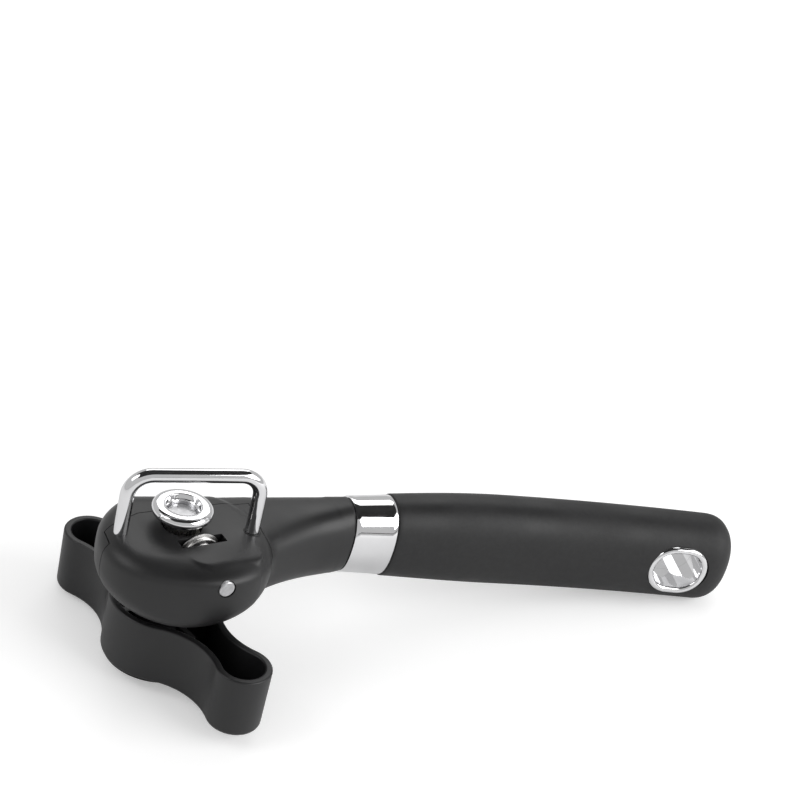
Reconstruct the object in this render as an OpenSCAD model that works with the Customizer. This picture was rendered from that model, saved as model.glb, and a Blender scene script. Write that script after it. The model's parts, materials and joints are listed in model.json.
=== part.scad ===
// Manual can opener with one long handle and a two-lobed turning knob.
//
// The pieces are drawn in the tool's own frame and then laid down on a table.
// Tool frame: origin on the drive axis at the flat face of the head, +Z out of
// the face towards the crown wheel, +X towards the handle, -Y towards the cutter.
// On the table the opener rests on its knob and the end of its handle, +Z is up,
// +X points along the handle and the origin is under the middle of the whole tool.

/* [Head] */
// Radius of the round head where it is widest
head_r = 24.2; // [23.5:0.1:26]
// Depth of the head behind its face
head_h = 20.5; // [20:0.5:23]
// Distance from the drive axis to the head's centre, towards the cutter
head_offset = 4.1; // [3.5:0.1:5]
// Rounding where the face meets the side wall
face_edge = 5; // [3:0.1:6]
// Rounding where the side wall meets the back
back_edge = 11; // [8:0.5:12]
// Radius of the gentle bulge of the side wall
wall_bulge = 24; // [20:1:60]
// Radius of the broad rounding on the cutter's side
brow_r = 16.5; // [14:0.5:19]
// Radius of the broad rounding on the far side, along the head and the neck
far_edge_r = 10.5; // [8:0.5:12]
// Width of the raised brow above the cutter pin
brow_w = 21; // [18:0.5:23]
// Distance from the front of the head back to the front of the brow
brow_inset = 6.6; // [5:0.1:9]
// Joint line between the two housings
seam_gap = 0.12; // [0.05:0.01:0.3]

/* [Drive] */
// Radius of the spindle
spindle_r = 3; // [2.5:0.1:3.3]
// Radius of the crown wheel
crown_r = 8.55; // [8:0.05:9.5]
// Height of the crown wheel's top above the face
crown_top = 6.9; // [6:0.1:8]
// Gap between the face and the underside of the crown wheel
crown_gap = 1.2; // [0.8:0.1:1.6]
// Tip radius of the toothed feed wheel
feed_r = 4.8; // [4.2:0.1:5]
// Number of teeth on the feed wheel
feed_teeth = 20; // [14:1:28]
// Outer radius of the cam bush that carries the spindle
cam_r = 6.2; // [5.8:0.1:6.4]
// Throw of the cam bush, which brings the crown towards the cutter
cam_throw = 0.8; // [0.5:0.05:1]
// Angle that the cam bush turns between its stops
cam_swing = 90; // [70:5:100]
// Running clearance of turning pieces, on the radius
running_fit = 0.05; // [0.02:0.01:0.09]
// Thickness of the tongue that carries the front housing
tongue_t = 2.6; // [2:0.1:3]

/* [Cutter] */
// Radius of the cutting wheel's edge
cutter_r = 6.3; // [5.6:0.1:6.6]
// Thickness of the cutting wheel
cutter_t = 2.6; // [2:0.1:3]
// Depth of the cutter pin's axis below the face
cutter_depth = 4.6; // [4.4:0.1:5.4]
// Place of the cutter pin along the handle's direction
cutter_x = 2.4; // [1.5:0.1:3]
// Radius of the cutter pin
cutter_pin_r = 2.3; // [1.6:0.1:2.4]

/* [Guard] */
// Radius of the guard wire
wire_r = 2; // [1.6:0.1:2.3]
// Height of the wire's centre line above the face
guard_h = 18.1; // [16:0.1:20]
// Distance between the guard's legs
guard_w = 36.8; // [35:0.1:38]
// Inner line radius of the guard's two bends
guard_bend = 6.2; // [5:0.1:8]

/* [Knob] */
// Distance from the drive axis to the centre of each lobe
lobe_reach = 34.4; // [32:0.1:38]
// Radius of the rounded end of each lobe
lobe_r = 8; // [6.8:0.1:8.4]
// Radius of the knob's middle
knob_mid_r = 15.8; // [14:0.1:16.5]
// Radius of the hollow curve between middle and lobe
knob_waist_r = 18.5; // [15:0.5:24]
// Height of the knob
knob_h = 18.7; // [16:0.1:20]
// Wall thickness of the knob
knob_wall = 2.1; // [1.6:0.1:2.6]
// Gap between the head's back and the knob's rim
knob_gap = 3.9; // [3:0.1:5]
// Direction of the knob's near lobe, from the handle's direction
knob_turn = -78.4; // [-90:0.1:-60]
// Radius of the cap in the middle of the knob's underside
cap_r = 14.8; // [12:0.1:15.4]
// How far the cap stands below the knob
cap_proud = 1; // [0.6:0.1:1.5]

/* [Handle] */
// Length from the chrome band's near edge to the end of the grip
handle_len = 127.5; // [110:1:150]
// Distance from the drive axis to the chrome band
neck_len = 55.1; // [50:0.1:60]
// Length of the chrome band
band_len = 13.4; // [10:0.1:18]
// Half width of the neck's end
neck_half_w = 8.3; // [7.8:0.1:9.5]
// Half height of the neck's end
neck_half_h = 11.4; // [10.8:0.1:12]
// Half width of the grip
grip_half_w = 10.3; // [9.8:0.1:12]
// Half height of the grip
grip_half_h = 14; // [13:0.1:15]
// Half width of the core inside the grip
core_half_w = 5.4; // [4.5:0.1:6]
// Half height of the core inside the grip
core_half_h = 8.4; // [7:0.1:9.5]
// Radius of the core's round tenon in the neck
tenon_r = 5; // [4:0.1:5.5]
// Radius of the screw that holds the core
core_screw_r = 1.9; // [1.5:0.1:2.2]

/* [Hanging eye] */
// Radius of the eye's round ends, measured in the clear opening
eye_r = 6.2; // [5:0.1:6.5]
// Distance between the centres of the eye's two round ends
eye_stretch = 3.2; // [2:0.1:6]
// Wall of the eye's liner
eye_wall = 0.9; // [0.6:0.1:1.2]
// Width of the rim that lies on the grip
eye_rim = 1.1; // [0.8:0.1:1.4]
// Distance from the eye's centre to the end of the grip
eye_inset = 18.9; // [18:0.1:26]

/* [Hidden] */
$fn = 96;
neck_steps = 24;
eps = 0.01;
// Gap between pieces that are fastened together
press_gap = 0.02;

// Head
head_centre = [0.5, -head_offset];
back_z = -head_h;
wall_gap = 0.3;
below = 2 * head_h;
neck_start = 4;
neck_root_back = 18.2;
neck_root_front = 12.9;
neck_root_top = -0.4;
neck_flare = 9;
neck_flare_end = 0.8;
neck_flare_power = 1.5;
neck_root_power = 3.6;
neck_dip_start = 0.3;
brow_edge = 3;
brow_round_left = 9;
brow_round_right = 5;
far_edge_turn = -13.4;

// Drive train along the drive axis, from the crown down to the knob
cam_centre = [cam_throw, 0];
cam_bore_r = cam_r + running_fit;
spindle_bore_r = spindle_r + running_fit;
cam_top = -3;
cam_foot = 0.2;
washer_t = 0.6;
axial_gap = 0.1;
feed_bottom = cam_top + axial_gap + washer_t;
feed_tooth_h = 0.7;
spindle_head_r = 0.49 * crown_r;
spindle_head_t = 0.9;
crown_mid_z = crown_gap + 0.6 * (crown_top - crown_gap);
crown_floor_z = crown_top - 2.6;
face_hole_r = feed_r + cam_throw + wall_gap / 2;
face_hole_centre = [cam_throw / 2, -cam_throw / 2];
stop_r = cam_r + 2;
stop_half_angle = 12;
stop_start = -60;
stop_h = 3;
stop_overlap = 1;

// Cutter
cam_wall = 0.9;
cutter_face = -(cam_bore_r + cam_wall);
cutter_mid_y = cutter_face - wall_gap - cutter_t / 2;
cutter_outer = cutter_mid_y - cutter_t / 2;
cutter_bush_wall = 0.9;
cutter_bush_r = cutter_pin_r + cutter_bush_wall;
cutter_washer_r = cutter_pin_r + 2;
cutter_washer_t = 0.5;
cutter_washer_y = cutter_outer - axial_gap;
pocket_y = cutter_washer_y - cutter_washer_t;
pocket_r = cutter_r + 0.5;
pin_recess = 0.3;
pin_tail = 0.4;
edge_bevel = 1.4;

// Guard
guard_angle = -13.66;
guard_left = [-17.6, 0.6];
left_sink = 7;
right_sink = 12;

// Knob
rim_z = back_z - knob_gap;
waist_bite = 0.05;
knob_base = rim_z - knob_h;
screw_head_t = 1.6;
cap_t = 1.4;
knob_floor = knob_base + cap_t + screw_head_t + knob_wall;
screw_seat = knob_base + cap_t + press_gap;
hub_r = 7.6;
hub_top = back_z - 2.2;
insert_r = 5;
drive_square = 4.4;
spindle_end = knob_floor + 2;
screw_r = 1.5;
screw_head_r = 3.4;
knob_screw_len = 8;
knob_screw_gap = 1.5;
screw_slot_w = 0.7;
screw_slot_len = 4;
spigot_r = 9;
rib_t = 1.6;
rib_drop = 5;
rib_overlap = 1;
rib_len = knob_mid_r - knob_wall - hub_r + 1.4 * rib_overlap;
spring_r_in = spindle_r + 0.4;
spring_w = 2.2;

// Tongue of the rear housing under the front housing, and its screws
tongue_half_w = 10;
tongue_reach = 15;
tongue_root = 12;
housing_screw_r = 1.2;
housing_screw_len = 8;
housing_screw_head_t = 1.1;
housing_screw_head_r = 1.8 * housing_screw_r;
housing_slot_w = 0.6;
housing_slot_len = 3;
housing_screw_spots = [[7.6, -10.5], [-7.6, -10.5], [-8.4, 1]];

// Handle line: a gentle arc in plan with a small fall towards its end
band_spot = [neck_len, 0, -12.8];
heading_start = -9.5;
heading_end = -22.5;
fall_start = -4.2;
fall_end = -1.5;
oval_power = 2.25;
end_cap = 10;
core_end = handle_len - eye_inset - eye_r - eye_stretch / 2 - eye_wall - 2;
tenon_len = 15;
tenon_root = 3;
core_screw_head_r = 3.3;
core_screw_head_t = 2.6;
core_screw_start = -31;
core_screw_end = 8;
core_screw_pocket = 8;
ring_points = 32;
core_steps = 14;
core_points = 24;
band_steps = 6;
band_inset = 0.25;
grip_steps = 14;
end_steps = 10;

// ---- Handle line ----

function heading(s) = heading_start + (heading_end - heading_start) * s / handle_len;
function fall(s) = fall_start + (fall_end - fall_start) * s / handle_len;
arc_r = handle_len / ((heading_start - heading_end) * PI / 180);
// The arc in plan is exact, and the fall is the integral of its small slope
function spine(s) = band_spot + [
    arc_r * (sin(-heading(s)) - sin(-heading_start)),
    -arc_r * (cos(heading_start) - cos(heading(s))),
    (fall_start * s + (fall_end - fall_start) * s * s / (2 * handle_len)) * PI / 180
];
function along(s) = [cos(fall(s)) * cos(heading(s)), cos(fall(s)) * sin(heading(s)), sin(fall(s))];
function side(s) = [-sin(heading(s)), cos(heading(s)), 0];
function above(s) = cross(along(s), side(s));

function mix(from, to, t) = from + (to - from) * t;
function power(v, p) = sign(v) * pow(abs(v), p);
function oval(half_w, half_h, count, p = oval_power) = [
    for (i = [0 : count - 1])
        [half_w * power(cos(360 * i / count), 2 / p), half_h * power(sin(360 * i / count), 2 / p)]
];
function ring(s, half_w, half_h, count = ring_points) = [
    for (p = oval(half_w, half_h, count)) spine(s) + p.x * side(s) + p.y * above(s)
];

// Sizes of the oval section, from the neck through the band to the grip
function blend(t) = t <= 0 ? 0 : t >= 1 ? 1 : t * t * (3 - 2 * t);
function grip_grow(s) = blend((s + 20) / 70);
function section_w(s) = neck_half_w + (grip_half_w - neck_half_w) * grip_grow(s);
function section_h(s) = neck_half_h + (grip_half_h - neck_half_h) * grip_grow(s);
// The grip's end rounds off over the last stretch
function end_round(s) = let (d = (handle_len - s) / end_cap) d >= 1 ? 1 : pow(1 - pow(1 - d, 2.6), 1 / 2.6);

module sweep(rings) {
    count = len(rings[0]);
    last = len(rings) - 1;
    polyhedron(
        points = [for (r = rings) each r],
        faces = [
            [for (i = [0 : count - 1]) i],
            for (k = [0 : last - 1], i = [0 : count - 1])
                let (j = (i + 1) % count)
                    [k * count + i, (k + 1) * count + i, (k + 1) * count + j, k * count + j],
            [for (i = [count - 1 : -1 : 0]) last * count + i]
        ],
        convexity = 4
    );
}

// Puts a piece drawn along +X at a place on the handle line
module on_spine(s) {
    multmatrix([
        [along(s).x, side(s).x, above(s).x, spine(s).x],
        [along(s).y, side(s).y, above(s).y, spine(s).y],
        [along(s).z, side(s).z, above(s).z, spine(s).z],
        [0, 0, 0, 1]
    ])
        children();
}

module rod_x(r, from, to) {
    translate([from, 0, 0]) rotate([0, 90, 0]) cylinder(r = r, h = to - from);
}

// ---- How the opener lies on the table ----

knob_dir = [cos(knob_turn), sin(knob_turn), 0];
function circle_points(centre, r) = [for (a = [0 : 5 : 355]) centre + r * [cos(a), sin(a), 0]];
cap_rim = circle_points([0, 0, knob_base - cap_proud], cap_r);
far_lobe_rim = circle_points(-lobe_reach * knob_dir + [0, 0, knob_base], lobe_r);
near_lobe_rim = circle_points(lobe_reach * knob_dir + [0, 0, knob_base], lobe_r);
grip_rings = [
    for (s = [band_len : 2 : handle_len])
        each ring(s, section_w(s) * end_round(s), section_h(s) * end_round(s))
];

function lowest(points, up) =
    let (heights = [for (p = points) p * up], low = min(heights))
    [for (i = [0 : len(points) - 1]) if (heights[i] == low) points[i]][0];
function plane_up(a, b, c) = let (n = cross(b - a, c - a)) sign(n.z) * n / norm(n);
// Tips the tool until the cap, the far lobe and the grip touch one plane
function settled(up, rounds) =
    rounds == 0 ? up
    : settled(plane_up(lowest(cap_rim, up), lowest(far_lobe_rim, up), lowest(grip_rings, up)), rounds - 1);

table_up = settled([0, 0, 1], 8);
handle_dir = spine(handle_len) - (spine(handle_len) * table_up) * table_up;
table_x = handle_dir / norm(handle_dir);
table_y = cross(table_up, table_x);

outline_points = concat(
    grip_rings, far_lobe_rim, near_lobe_rim,
    [for (p = concat(far_lobe_rim, near_lobe_rim)) p + [0, 0, knob_h]],
    circle_points([head_centre.x, head_centre.y, -head_h / 2], head_r)
);
function middle(axis) =
    let (d = [for (p = outline_points) p * axis]) (min(d) + max(d)) / 2;
table_origin = [middle(table_x), middle(table_y), lowest(cap_rim, table_up) * table_up];

module on_table() {
    multmatrix([
        [table_x.x, table_x.y, table_x.z, -table_origin.x],
        [table_y.x, table_y.y, table_y.z, -table_origin.y],
        [table_up.x, table_up.y, table_up.z, -table_origin.z],
        [0, 0, 0, 1]
    ])
        children();
}

// ---- Head ----

// A round block with its top at z = 0, both edges rounded and a gently bulging wall
module rounded_puck(r, h, top, bottom) {
    mid_z = -(h - bottom + top) / 2;
    rotate_extrude()
        intersection() {
            union() {
                translate([0, -h]) square([r - max(top, bottom), h]);
                translate([0, bottom - h]) square([r, h - bottom - top]);
                translate([0, bottom - h]) square([r - top, h - bottom]);
                translate([r - top, -top]) circle(r = top);
                translate([r - bottom, bottom - h]) circle(r = bottom);
            }
            translate([0, -h]) square([r, h]);
            translate([r - wall_bulge, mid_z]) circle(r = wall_bulge);
        }
}

module drum() {
    translate([head_centre.x, head_centre.y, 0]) rounded_puck(head_r, head_h, face_edge, back_edge);
}

// Side view of an edge at distance d from the head's centre, rounded by r, as a long prism along X
module edge_prism(d, r) {
    translate([head_centre.x - 3 * head_r, head_centre.y, 0]) rotate([90, 0, 90])
        linear_extrude(4 * head_r + 2 * neck_len) {
            translate([r - d, -below]) square([4 * head_r, below]);
            translate([-d, -below]) square([r + eps, below - r]);
            translate([r - d, -r]) circle(r = r);
        }
}

// The face falls away in a broad curve at the cutter's side
module brow_cut() {
    edge_prism(head_r, brow_r);
}

// The far side is rounded along a straight line that runs from the head along the neck
module far_edge_cut() {
    translate([head_centre.x, head_centre.y, 0])
        rotate([0, 0, far_edge_turn])
            mirror([0, 1, 0])
                translate([-head_centre.x, -head_centre.y, 0]) edge_prism(head_r, far_edge_r);
}

// Plan of the brow, with a wide corner at its left and a small one at its right
module brow_plan() {
    left = cutter_x - brow_w / 3;
    right = left + brow_w;
    front = head_centre.y - head_r + brow_inset;
    translate([left + brow_round_left, front + brow_round_left]) circle(r = brow_round_left);
    translate([right - brow_round_right, front + brow_round_right]) circle(r = brow_round_right);
    translate([left + brow_round_left, front])
        square([brow_w - brow_round_left - brow_round_right, head_r]);
    translate([left, front + brow_round_left]) square([brow_w, head_r - brow_inset]);
    translate([right - brow_round_right - 1, front + brow_round_right])
        square([brow_round_right + 1, brow_round_left]);
}

// The brow is a low lip that carries the face a little further forward
module brow() {
    intersection() {
        drum();
        translate([0, 0, -head_h / 2]) linear_extrude(head_h) brow_plan();
        edge_prism(head_r - brow_inset, brow_edge);
    }
}

// The neck's section at t, from 0 inside the head to 1 at the chrome band
function neck_turn(t) = heading_start * blend(t);
function neck_fall(t) = fall_start * blend(t);
function neck_along(t) = [
    cos(neck_fall(t)) * cos(neck_turn(t)), cos(neck_fall(t)) * sin(neck_turn(t)), sin(neck_fall(t))
];
function neck_side(t) = [-sin(neck_turn(t)), cos(neck_turn(t)), 0];
function neck_back(t) = mix(neck_root_back, neck_half_w, t);
// The front edge flares out to meet the round head
function neck_front(t) =
    -mix(neck_root_front, neck_half_w, t)
    - neck_flare * pow(max(0, 1 - t / neck_flare_end), neck_flare_power);
function neck_top(t) = mix(neck_root_top, band_spot.z + neck_half_h, t);
// The underside stays level under the head and then dips to the band
function neck_bottom(t) =
    mix(back_z + eps, band_spot.z - neck_half_h, blend((t - neck_dip_start) / (1 - neck_dip_start)));
function neck_ring(t) =
    let (
        half_w = (neck_back(t) - neck_front(t)) / 2,
        half_h = (neck_top(t) - neck_bottom(t)) / 2,
        centre = [mix(neck_start, neck_len, t), 0, (neck_top(t) + neck_bottom(t)) / 2]
            + (neck_back(t) + neck_front(t)) / 2 * neck_side(t),
        up = cross(neck_along(t), neck_side(t))
    )
    [for (p = oval(half_w, half_h, ring_points, mix(neck_root_power, oval_power, t)))
        centre + p.x * neck_side(t) + p.y * up];

module neck() {
    sweep([for (i = [0 : neck_steps]) neck_ring(i / neck_steps)]);
}

module head_solid() {
    intersection() {
        union() {
            drum();
            neck();
        }
        brow_cut();
        far_edge_cut();
    }
    brow();
}

// Plan of the front housing: it meets the rear housing behind the crown
module front_plan() {
    polygon([
        [-40, -2], [-21.7, -2], [-20.6, 3.6], [-9, 7.3],
        [24.5, 5.4], [21.6, -8], [21, -40], [-40, -40]
    ]);
}

module tall(z_from, z_to) {
    translate([0, 0, z_from]) linear_extrude(z_to - z_from) children();
}

// Everything that is bored or cut through the head
module head_cuts() {
    // cam bush bore, its stop window and the hole for the feed wheel
    translate([cam_centre.x, cam_centre.y, back_z - 1])
        cylinder(r = cam_bore_r, h = head_h + 1 + cam_top + axial_gap);
    translate([cam_centre.x, cam_centre.y, back_z + tongue_t])
        rotate([0, 0, stop_start - stop_half_angle - 1])
            rotate_extrude(angle = cam_swing + 2 * stop_half_angle + 2)
                translate([cam_r - stop_overlap, 0])
                    square([stop_r + wall_gap - cam_r + stop_overlap, stop_h + axial_gap]);
    translate([face_hole_centre.x, face_hole_centre.y, cam_top - 1]) cylinder(r = face_hole_r, h = head_h);
    // cutter pocket, its slot in the face and the pin's hole
    on_cutter_axis(cutter_face) cylinder(r = pocket_r, h = cutter_face - pocket_y);
    translate([cutter_x - pocket_r, pocket_y, -cutter_depth])
        cube([2 * pocket_r, cutter_face - pocket_y, head_h]);
    on_cutter_axis(cutter_face + pin_tail + axial_gap) cylinder(r = cutter_pin_r, h = head_r * 2);
    // guard feet
    guard_foot_hole(0, left_sink);
    guard_foot_hole(guard_w, right_sink);
    // housing screws
    housing_screw_shanks(press_gap);
    housing_screw_heads(press_gap);
    // core tenon and its screw
    on_spine(0) rod_x(tenon_r + press_gap, -tenon_len - 2 * axial_gap, tenon_root + 2);
    on_spine(0) rod_x(core_screw_r + wall_gap / 2, core_screw_start, 0);
    on_spine(0)
        rod_x(
            core_screw_head_r + wall_gap / 2,
            core_screw_start - core_screw_pocket, core_screw_start + core_screw_head_t
        );
}

// The rear housing's tongue reaches under the front housing
module tongue(gap) {
    translate([head_centre.x - tongue_half_w - gap, -tongue_reach - gap, back_z - 1])
        cube([2 * (tongue_half_w + gap), tongue_reach + tongue_root, 1 + tongue_t + gap]);
}

module front_housing() {
    color([0.1, 0.1, 0.1])
        difference() {
            intersection() {
                head_solid();
                tall(-below, 5) front_plan();
            }
            tongue(seam_gap);
            head_cuts();
        }
}

module rear_housing() {
    color([0.08, 0.08, 0.08])
        difference() {
            head_solid();
            difference() {
                tall(-below, 5) offset(delta = seam_gap) front_plan();
                tongue(0);
            }
            head_cuts();
        }
}

module at_housing_screws() {
    for (spot = housing_screw_spots)
        translate([head_centre.x + spot.x, spot.y, back_z]) children();
}

module housing_screw_shanks(extra) {
    at_housing_screws() translate([0, 0, 0.5])
        cylinder(r = housing_screw_r + extra, h = housing_screw_len + extra);
}

module housing_screw_heads(extra) {
    at_housing_screws()
        translate([0, 0, -extra])
            cylinder(r = housing_screw_head_r + extra, h = housing_screw_head_t + 2 * extra);
}

module housing_screws() {
    color([0.75, 0.75, 0.77])
        difference() {
            union() {
                housing_screw_shanks(0);
                housing_screw_heads(0);
            }
            at_housing_screws()
                translate([-housing_slot_w / 2, -housing_slot_len / 2, -1])
                    cube([housing_slot_w, housing_slot_len, 1.5]);
        }
}

// ---- Guard wire ----

module at_guard(along_x) {
    translate([guard_left.x, guard_left.y, 0]) rotate([0, 0, guard_angle])
        translate([along_x, 0, 0]) children();
}

module guard_foot_hole(along_x, sink) {
    at_guard(along_x) translate([0, 0, -sink]) cylinder(r = wire_r + press_gap, h = sink + 10);
}

module guard_leg(along_x, sink) {
    at_guard(along_x) translate([0, 0, -sink]) cylinder(r = wire_r, h = sink + guard_h - guard_bend);
}

module guard_bend_piece() {
    rotate([90, 0, 0]) rotate_extrude(angle = 90) translate([guard_bend, 0]) circle(r = wire_r);
}

module guard_wire() {
    color([0.85, 0.85, 0.86]) {
        guard_leg(0, left_sink);
        guard_leg(guard_w, right_sink);
        at_guard(guard_bend) translate([0, 0, guard_h]) rod_x(wire_r, 0, guard_w - 2 * guard_bend);
        at_guard(guard_w - guard_bend) translate([0, 0, guard_h - guard_bend]) guard_bend_piece();
        at_guard(guard_bend) translate([0, 0, guard_h - guard_bend]) mirror([1, 0, 0]) guard_bend_piece();
    }
}

// ---- Cutter ----

module on_cutter_axis(y) {
    translate([cutter_x, y, -cutter_depth]) rotate([90, 0, 0]) children();
}

module cutter_wheel() {
    half = cutter_t / 2;
    groove_r = cutter_r - edge_bevel;
    color([0.75, 0.75, 0.76])
        on_cutter_axis(cutter_mid_y)
            rotate_extrude()
                polygon([
                    [cutter_bush_r, -half], [groove_r, -half], [groove_r, -0.35 * half],
                    [cutter_r, 0.2 * half], [cutter_r, 0.3 * half],
                    [groove_r + 0.4, half], [cutter_bush_r, half]
                ]);
}

module cutter_bush() {
    color([0.7, 0.6, 0.35])
        on_cutter_axis(cutter_mid_y + cutter_t / 2)
            difference() {
                cylinder(r = cutter_bush_r - press_gap, h = cutter_t);
                translate([0, 0, -1]) cylinder(r = cutter_pin_r + running_fit, h = cutter_t + 2);
            }
}

module cutter_washer() {
    color([0.7, 0.7, 0.72])
        on_cutter_axis(cutter_washer_y)
            difference() {
                cylinder(r = cutter_washer_r, h = cutter_washer_t - press_gap);
                translate([0, 0, -1]) cylinder(r = cutter_pin_r + press_gap, h = 3);
            }
}

// The pin ends just inside the head's wall
module cutter_pin() {
    color([0.7, 0.7, 0.7])
        intersection() {
            on_cutter_axis(cutter_face + pin_tail) cylinder(r = cutter_pin_r - press_gap, h = 2 * head_r);
            translate([0, pin_recess, 0]) brow_cut();
        }
}

// ---- Drive ----

module cam_bush() {
    color([0.85, 0.85, 0.82])
        difference() {
            union() {
                translate([cam_centre.x, cam_centre.y, back_z - cam_foot])
                    cylinder(r = cam_r, h = cam_top - back_z + cam_foot);
                translate([cam_centre.x, cam_centre.y, back_z + tongue_t + axial_gap])
                    rotate([0, 0, stop_start - stop_half_angle])
                        rotate_extrude(angle = 2 * stop_half_angle)
                            translate([cam_r - stop_overlap, 0])
                                square([stop_r - cam_r + stop_overlap, stop_h - axial_gap]);
            }
            translate([0, 0, back_z - 1]) cylinder(r = spindle_bore_r, h = head_h + 2);
        }
}

module washer(r_in, r_out, t) {
    difference() {
        cylinder(r = r_out, h = t);
        translate([0, 0, -1]) cylinder(r = r_in, h = t + 2);
    }
}

module cam_washer() {
    color([0.8, 0.8, 0.8])
        translate([0, 0, cam_top + axial_gap]) washer(spindle_r + press_gap, feed_r - 0.3, washer_t);
}

module spindle() {
    head_z = crown_floor_z - spindle_head_t;
    color([0.6, 0.6, 0.6]) {
        translate([0, 0, head_z]) cylinder(r = spindle_head_r - press_gap, h = spindle_head_t);
        translate([0, 0, hub_top]) cylinder(r = spindle_r, h = head_z - hub_top + eps);
        difference() {
            translate([-drive_square / 2, -drive_square / 2, spindle_end])
                cube([drive_square, drive_square, hub_top - spindle_end + eps]);
            translate([0, 0, spindle_end - 1]) cylinder(r = screw_r + press_gap, h = knob_screw_len);
        }
    }
}

module feed_wheel() {
    root_r = feed_r - feed_tooth_h;
    color([0.7, 0.7, 0.72])
        translate([0, 0, feed_bottom])
            difference() {
                linear_extrude(crown_gap - feed_bottom - press_gap)
                    polygon([
                        for (i = [0 : 2 * feed_teeth - 1])
                            let (turn = 180 * i / feed_teeth)
                            (i % 2 == 0 ? feed_r : root_r) * [cos(turn), sin(turn)]
                    ]);
                translate([0, 0, -1]) cylinder(r = spindle_r + press_gap, h = crown_gap - feed_bottom + 2);
            }
}

module crown_wheel() {
    ring_r = crown_top - crown_mid_z;
    color([0.9, 0.9, 0.9])
        difference() {
            rotate_extrude() {
                polygon([
                    [0, crown_gap], [0.6 * crown_r, crown_gap], [crown_r - 0.25, crown_mid_z - 0.7],
                    [crown_r - ring_r, crown_mid_z + 0.5],
                    [0.72 * crown_r, crown_top - 0.5], [0, crown_top - 0.5]
                ]);
                translate([crown_r - ring_r, crown_mid_z]) circle(r = ring_r);
            }
            translate([0, 0, crown_floor_z - spindle_head_t]) cylinder(r = spindle_head_r, h = crown_top);
            cylinder(r = spindle_r + press_gap, h = crown_top);
        }
}

module thrust_washer() {
    color([0.8, 0.8, 0.8])
        translate([0, 0, back_z - wall_gap - washer_t])
            washer(spindle_r + press_gap, hub_r, washer_t - press_gap);
}

module wave_spring() {
    top = back_z - wall_gap - washer_t - press_gap;
    color([0.55, 0.55, 0.58])
        translate([0, 0, hub_top + axial_gap])
            washer(spring_r_in, spring_r_in + spring_w, top - hub_top - axial_gap);
}

// ---- Knob ----

// One lobe with its waist; the waist's curves bite a hair into the middle and the lobe, so that they cross
module lobe_plan(mid_r, end_r, waist_r) {
    a = mid_r + waist_r;
    b = end_r + waist_r;
    cx = (a * a - b * b + lobe_reach * lobe_reach) / (2 * lobe_reach);
    cy = sqrt(a * a - cx * cx);
    translate([lobe_reach, 0]) circle(r = end_r);
    difference() {
        polygon([[0, 0], [cx, cy], [lobe_reach, 0], [cx, -cy]]);
        for (s = [-1, 1]) translate([cx, s * cy]) circle(r = waist_r + waist_bite);
    }
}

module knob_plan(inset) {
    circle(r = knob_mid_r - inset);
    for (turn = [0, 180]) rotate(turn) lobe_plan(knob_mid_r - inset, lobe_r - inset, knob_waist_r + inset);
}

module knob_shell() {
    color([0.12, 0.12, 0.12])
        rotate([0, 0, knob_turn])
            difference() {
                union() {
                    difference() {
                        translate([0, 0, knob_base]) linear_extrude(knob_h) knob_plan(0);
                        translate([0, 0, knob_base + knob_wall]) linear_extrude(knob_h) knob_plan(knob_wall);
                    }
                    translate([0, 0, knob_base]) cylinder(r = hub_r, h = hub_top - knob_base);
                    for (turn = [0 : 60 : 300])
                        rotate([0, 0, turn])
                            translate([hub_r - rib_overlap, -rib_t / 2, knob_base + 1])
                                cube([rib_len, rib_t, knob_h - rib_drop - 1]);
                }
                translate([0, 0, knob_floor]) cylinder(r = insert_r + press_gap, h = knob_h + knob_gap);
                translate([0, 0, knob_base - 1]) cylinder(r = screw_r + 0.2, h = knob_floor - knob_base + 2);
                translate([0, 0, knob_base - 1]) cylinder(r = spigot_r + press_gap, h = 1 + cap_t);
                translate([0, 0, knob_base - 1])
                    cylinder(r = screw_head_r + press_gap, h = 1 + cap_t + screw_head_t);
            }
}

module hub_insert() {
    side_len = drive_square + 2 * press_gap;
    color([0.75, 0.62, 0.3])
        difference() {
            translate([0, 0, knob_floor + press_gap])
                cylinder(r = insert_r, h = hub_top - knob_floor - press_gap - axial_gap);
            translate([-side_len / 2, -side_len / 2, knob_floor - 1]) cube([side_len, side_len, knob_h]);
        }
}

module knob_screw() {
    color([0.75, 0.75, 0.77]) {
        translate([0, 0, screw_seat])
            cylinder(r = screw_r, h = spindle_end - screw_seat + knob_screw_len - knob_screw_gap);
        difference() {
            translate([0, 0, screw_seat]) cylinder(r = screw_head_r, h = screw_head_t - press_gap);
            translate([-screw_slot_len / 2, -screw_slot_w / 2, screw_seat - 1])
                cube([screw_slot_len, screw_slot_w, 1 + screw_slot_w]);
        }
    }
}

module knob_cap() {
    color([0.14, 0.14, 0.14]) {
        translate([0, 0, knob_base - cap_proud]) cylinder(r = cap_r, h = cap_proud - press_gap);
        translate([0, 0, knob_base - cap_proud]) cylinder(r = spigot_r, h = cap_proud + cap_t - press_gap);
    }
}

// ---- Handle ----

module handle_core() {
    color([0.2, 0.2, 0.2])
        difference() {
            union() {
                sweep([
                    for (i = [0 : core_steps])
                        ring(mix(axial_gap, core_end, i / core_steps), core_half_w, core_half_h, core_points)
                ]);
                on_spine(0) rod_x(tenon_r, -tenon_len, tenon_root);
            }
            on_spine(0) rod_x(core_screw_r, -tenon_len - 1, core_screw_end + 0.5);
        }
}

module core_screw() {
    color([0.75, 0.75, 0.77])
        on_spine(0) {
            rod_x(core_screw_r - press_gap, core_screw_start + core_screw_head_t - eps, core_screw_end);
            rod_x(core_screw_head_r, core_screw_start, core_screw_start + core_screw_head_t);
        }
}

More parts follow.
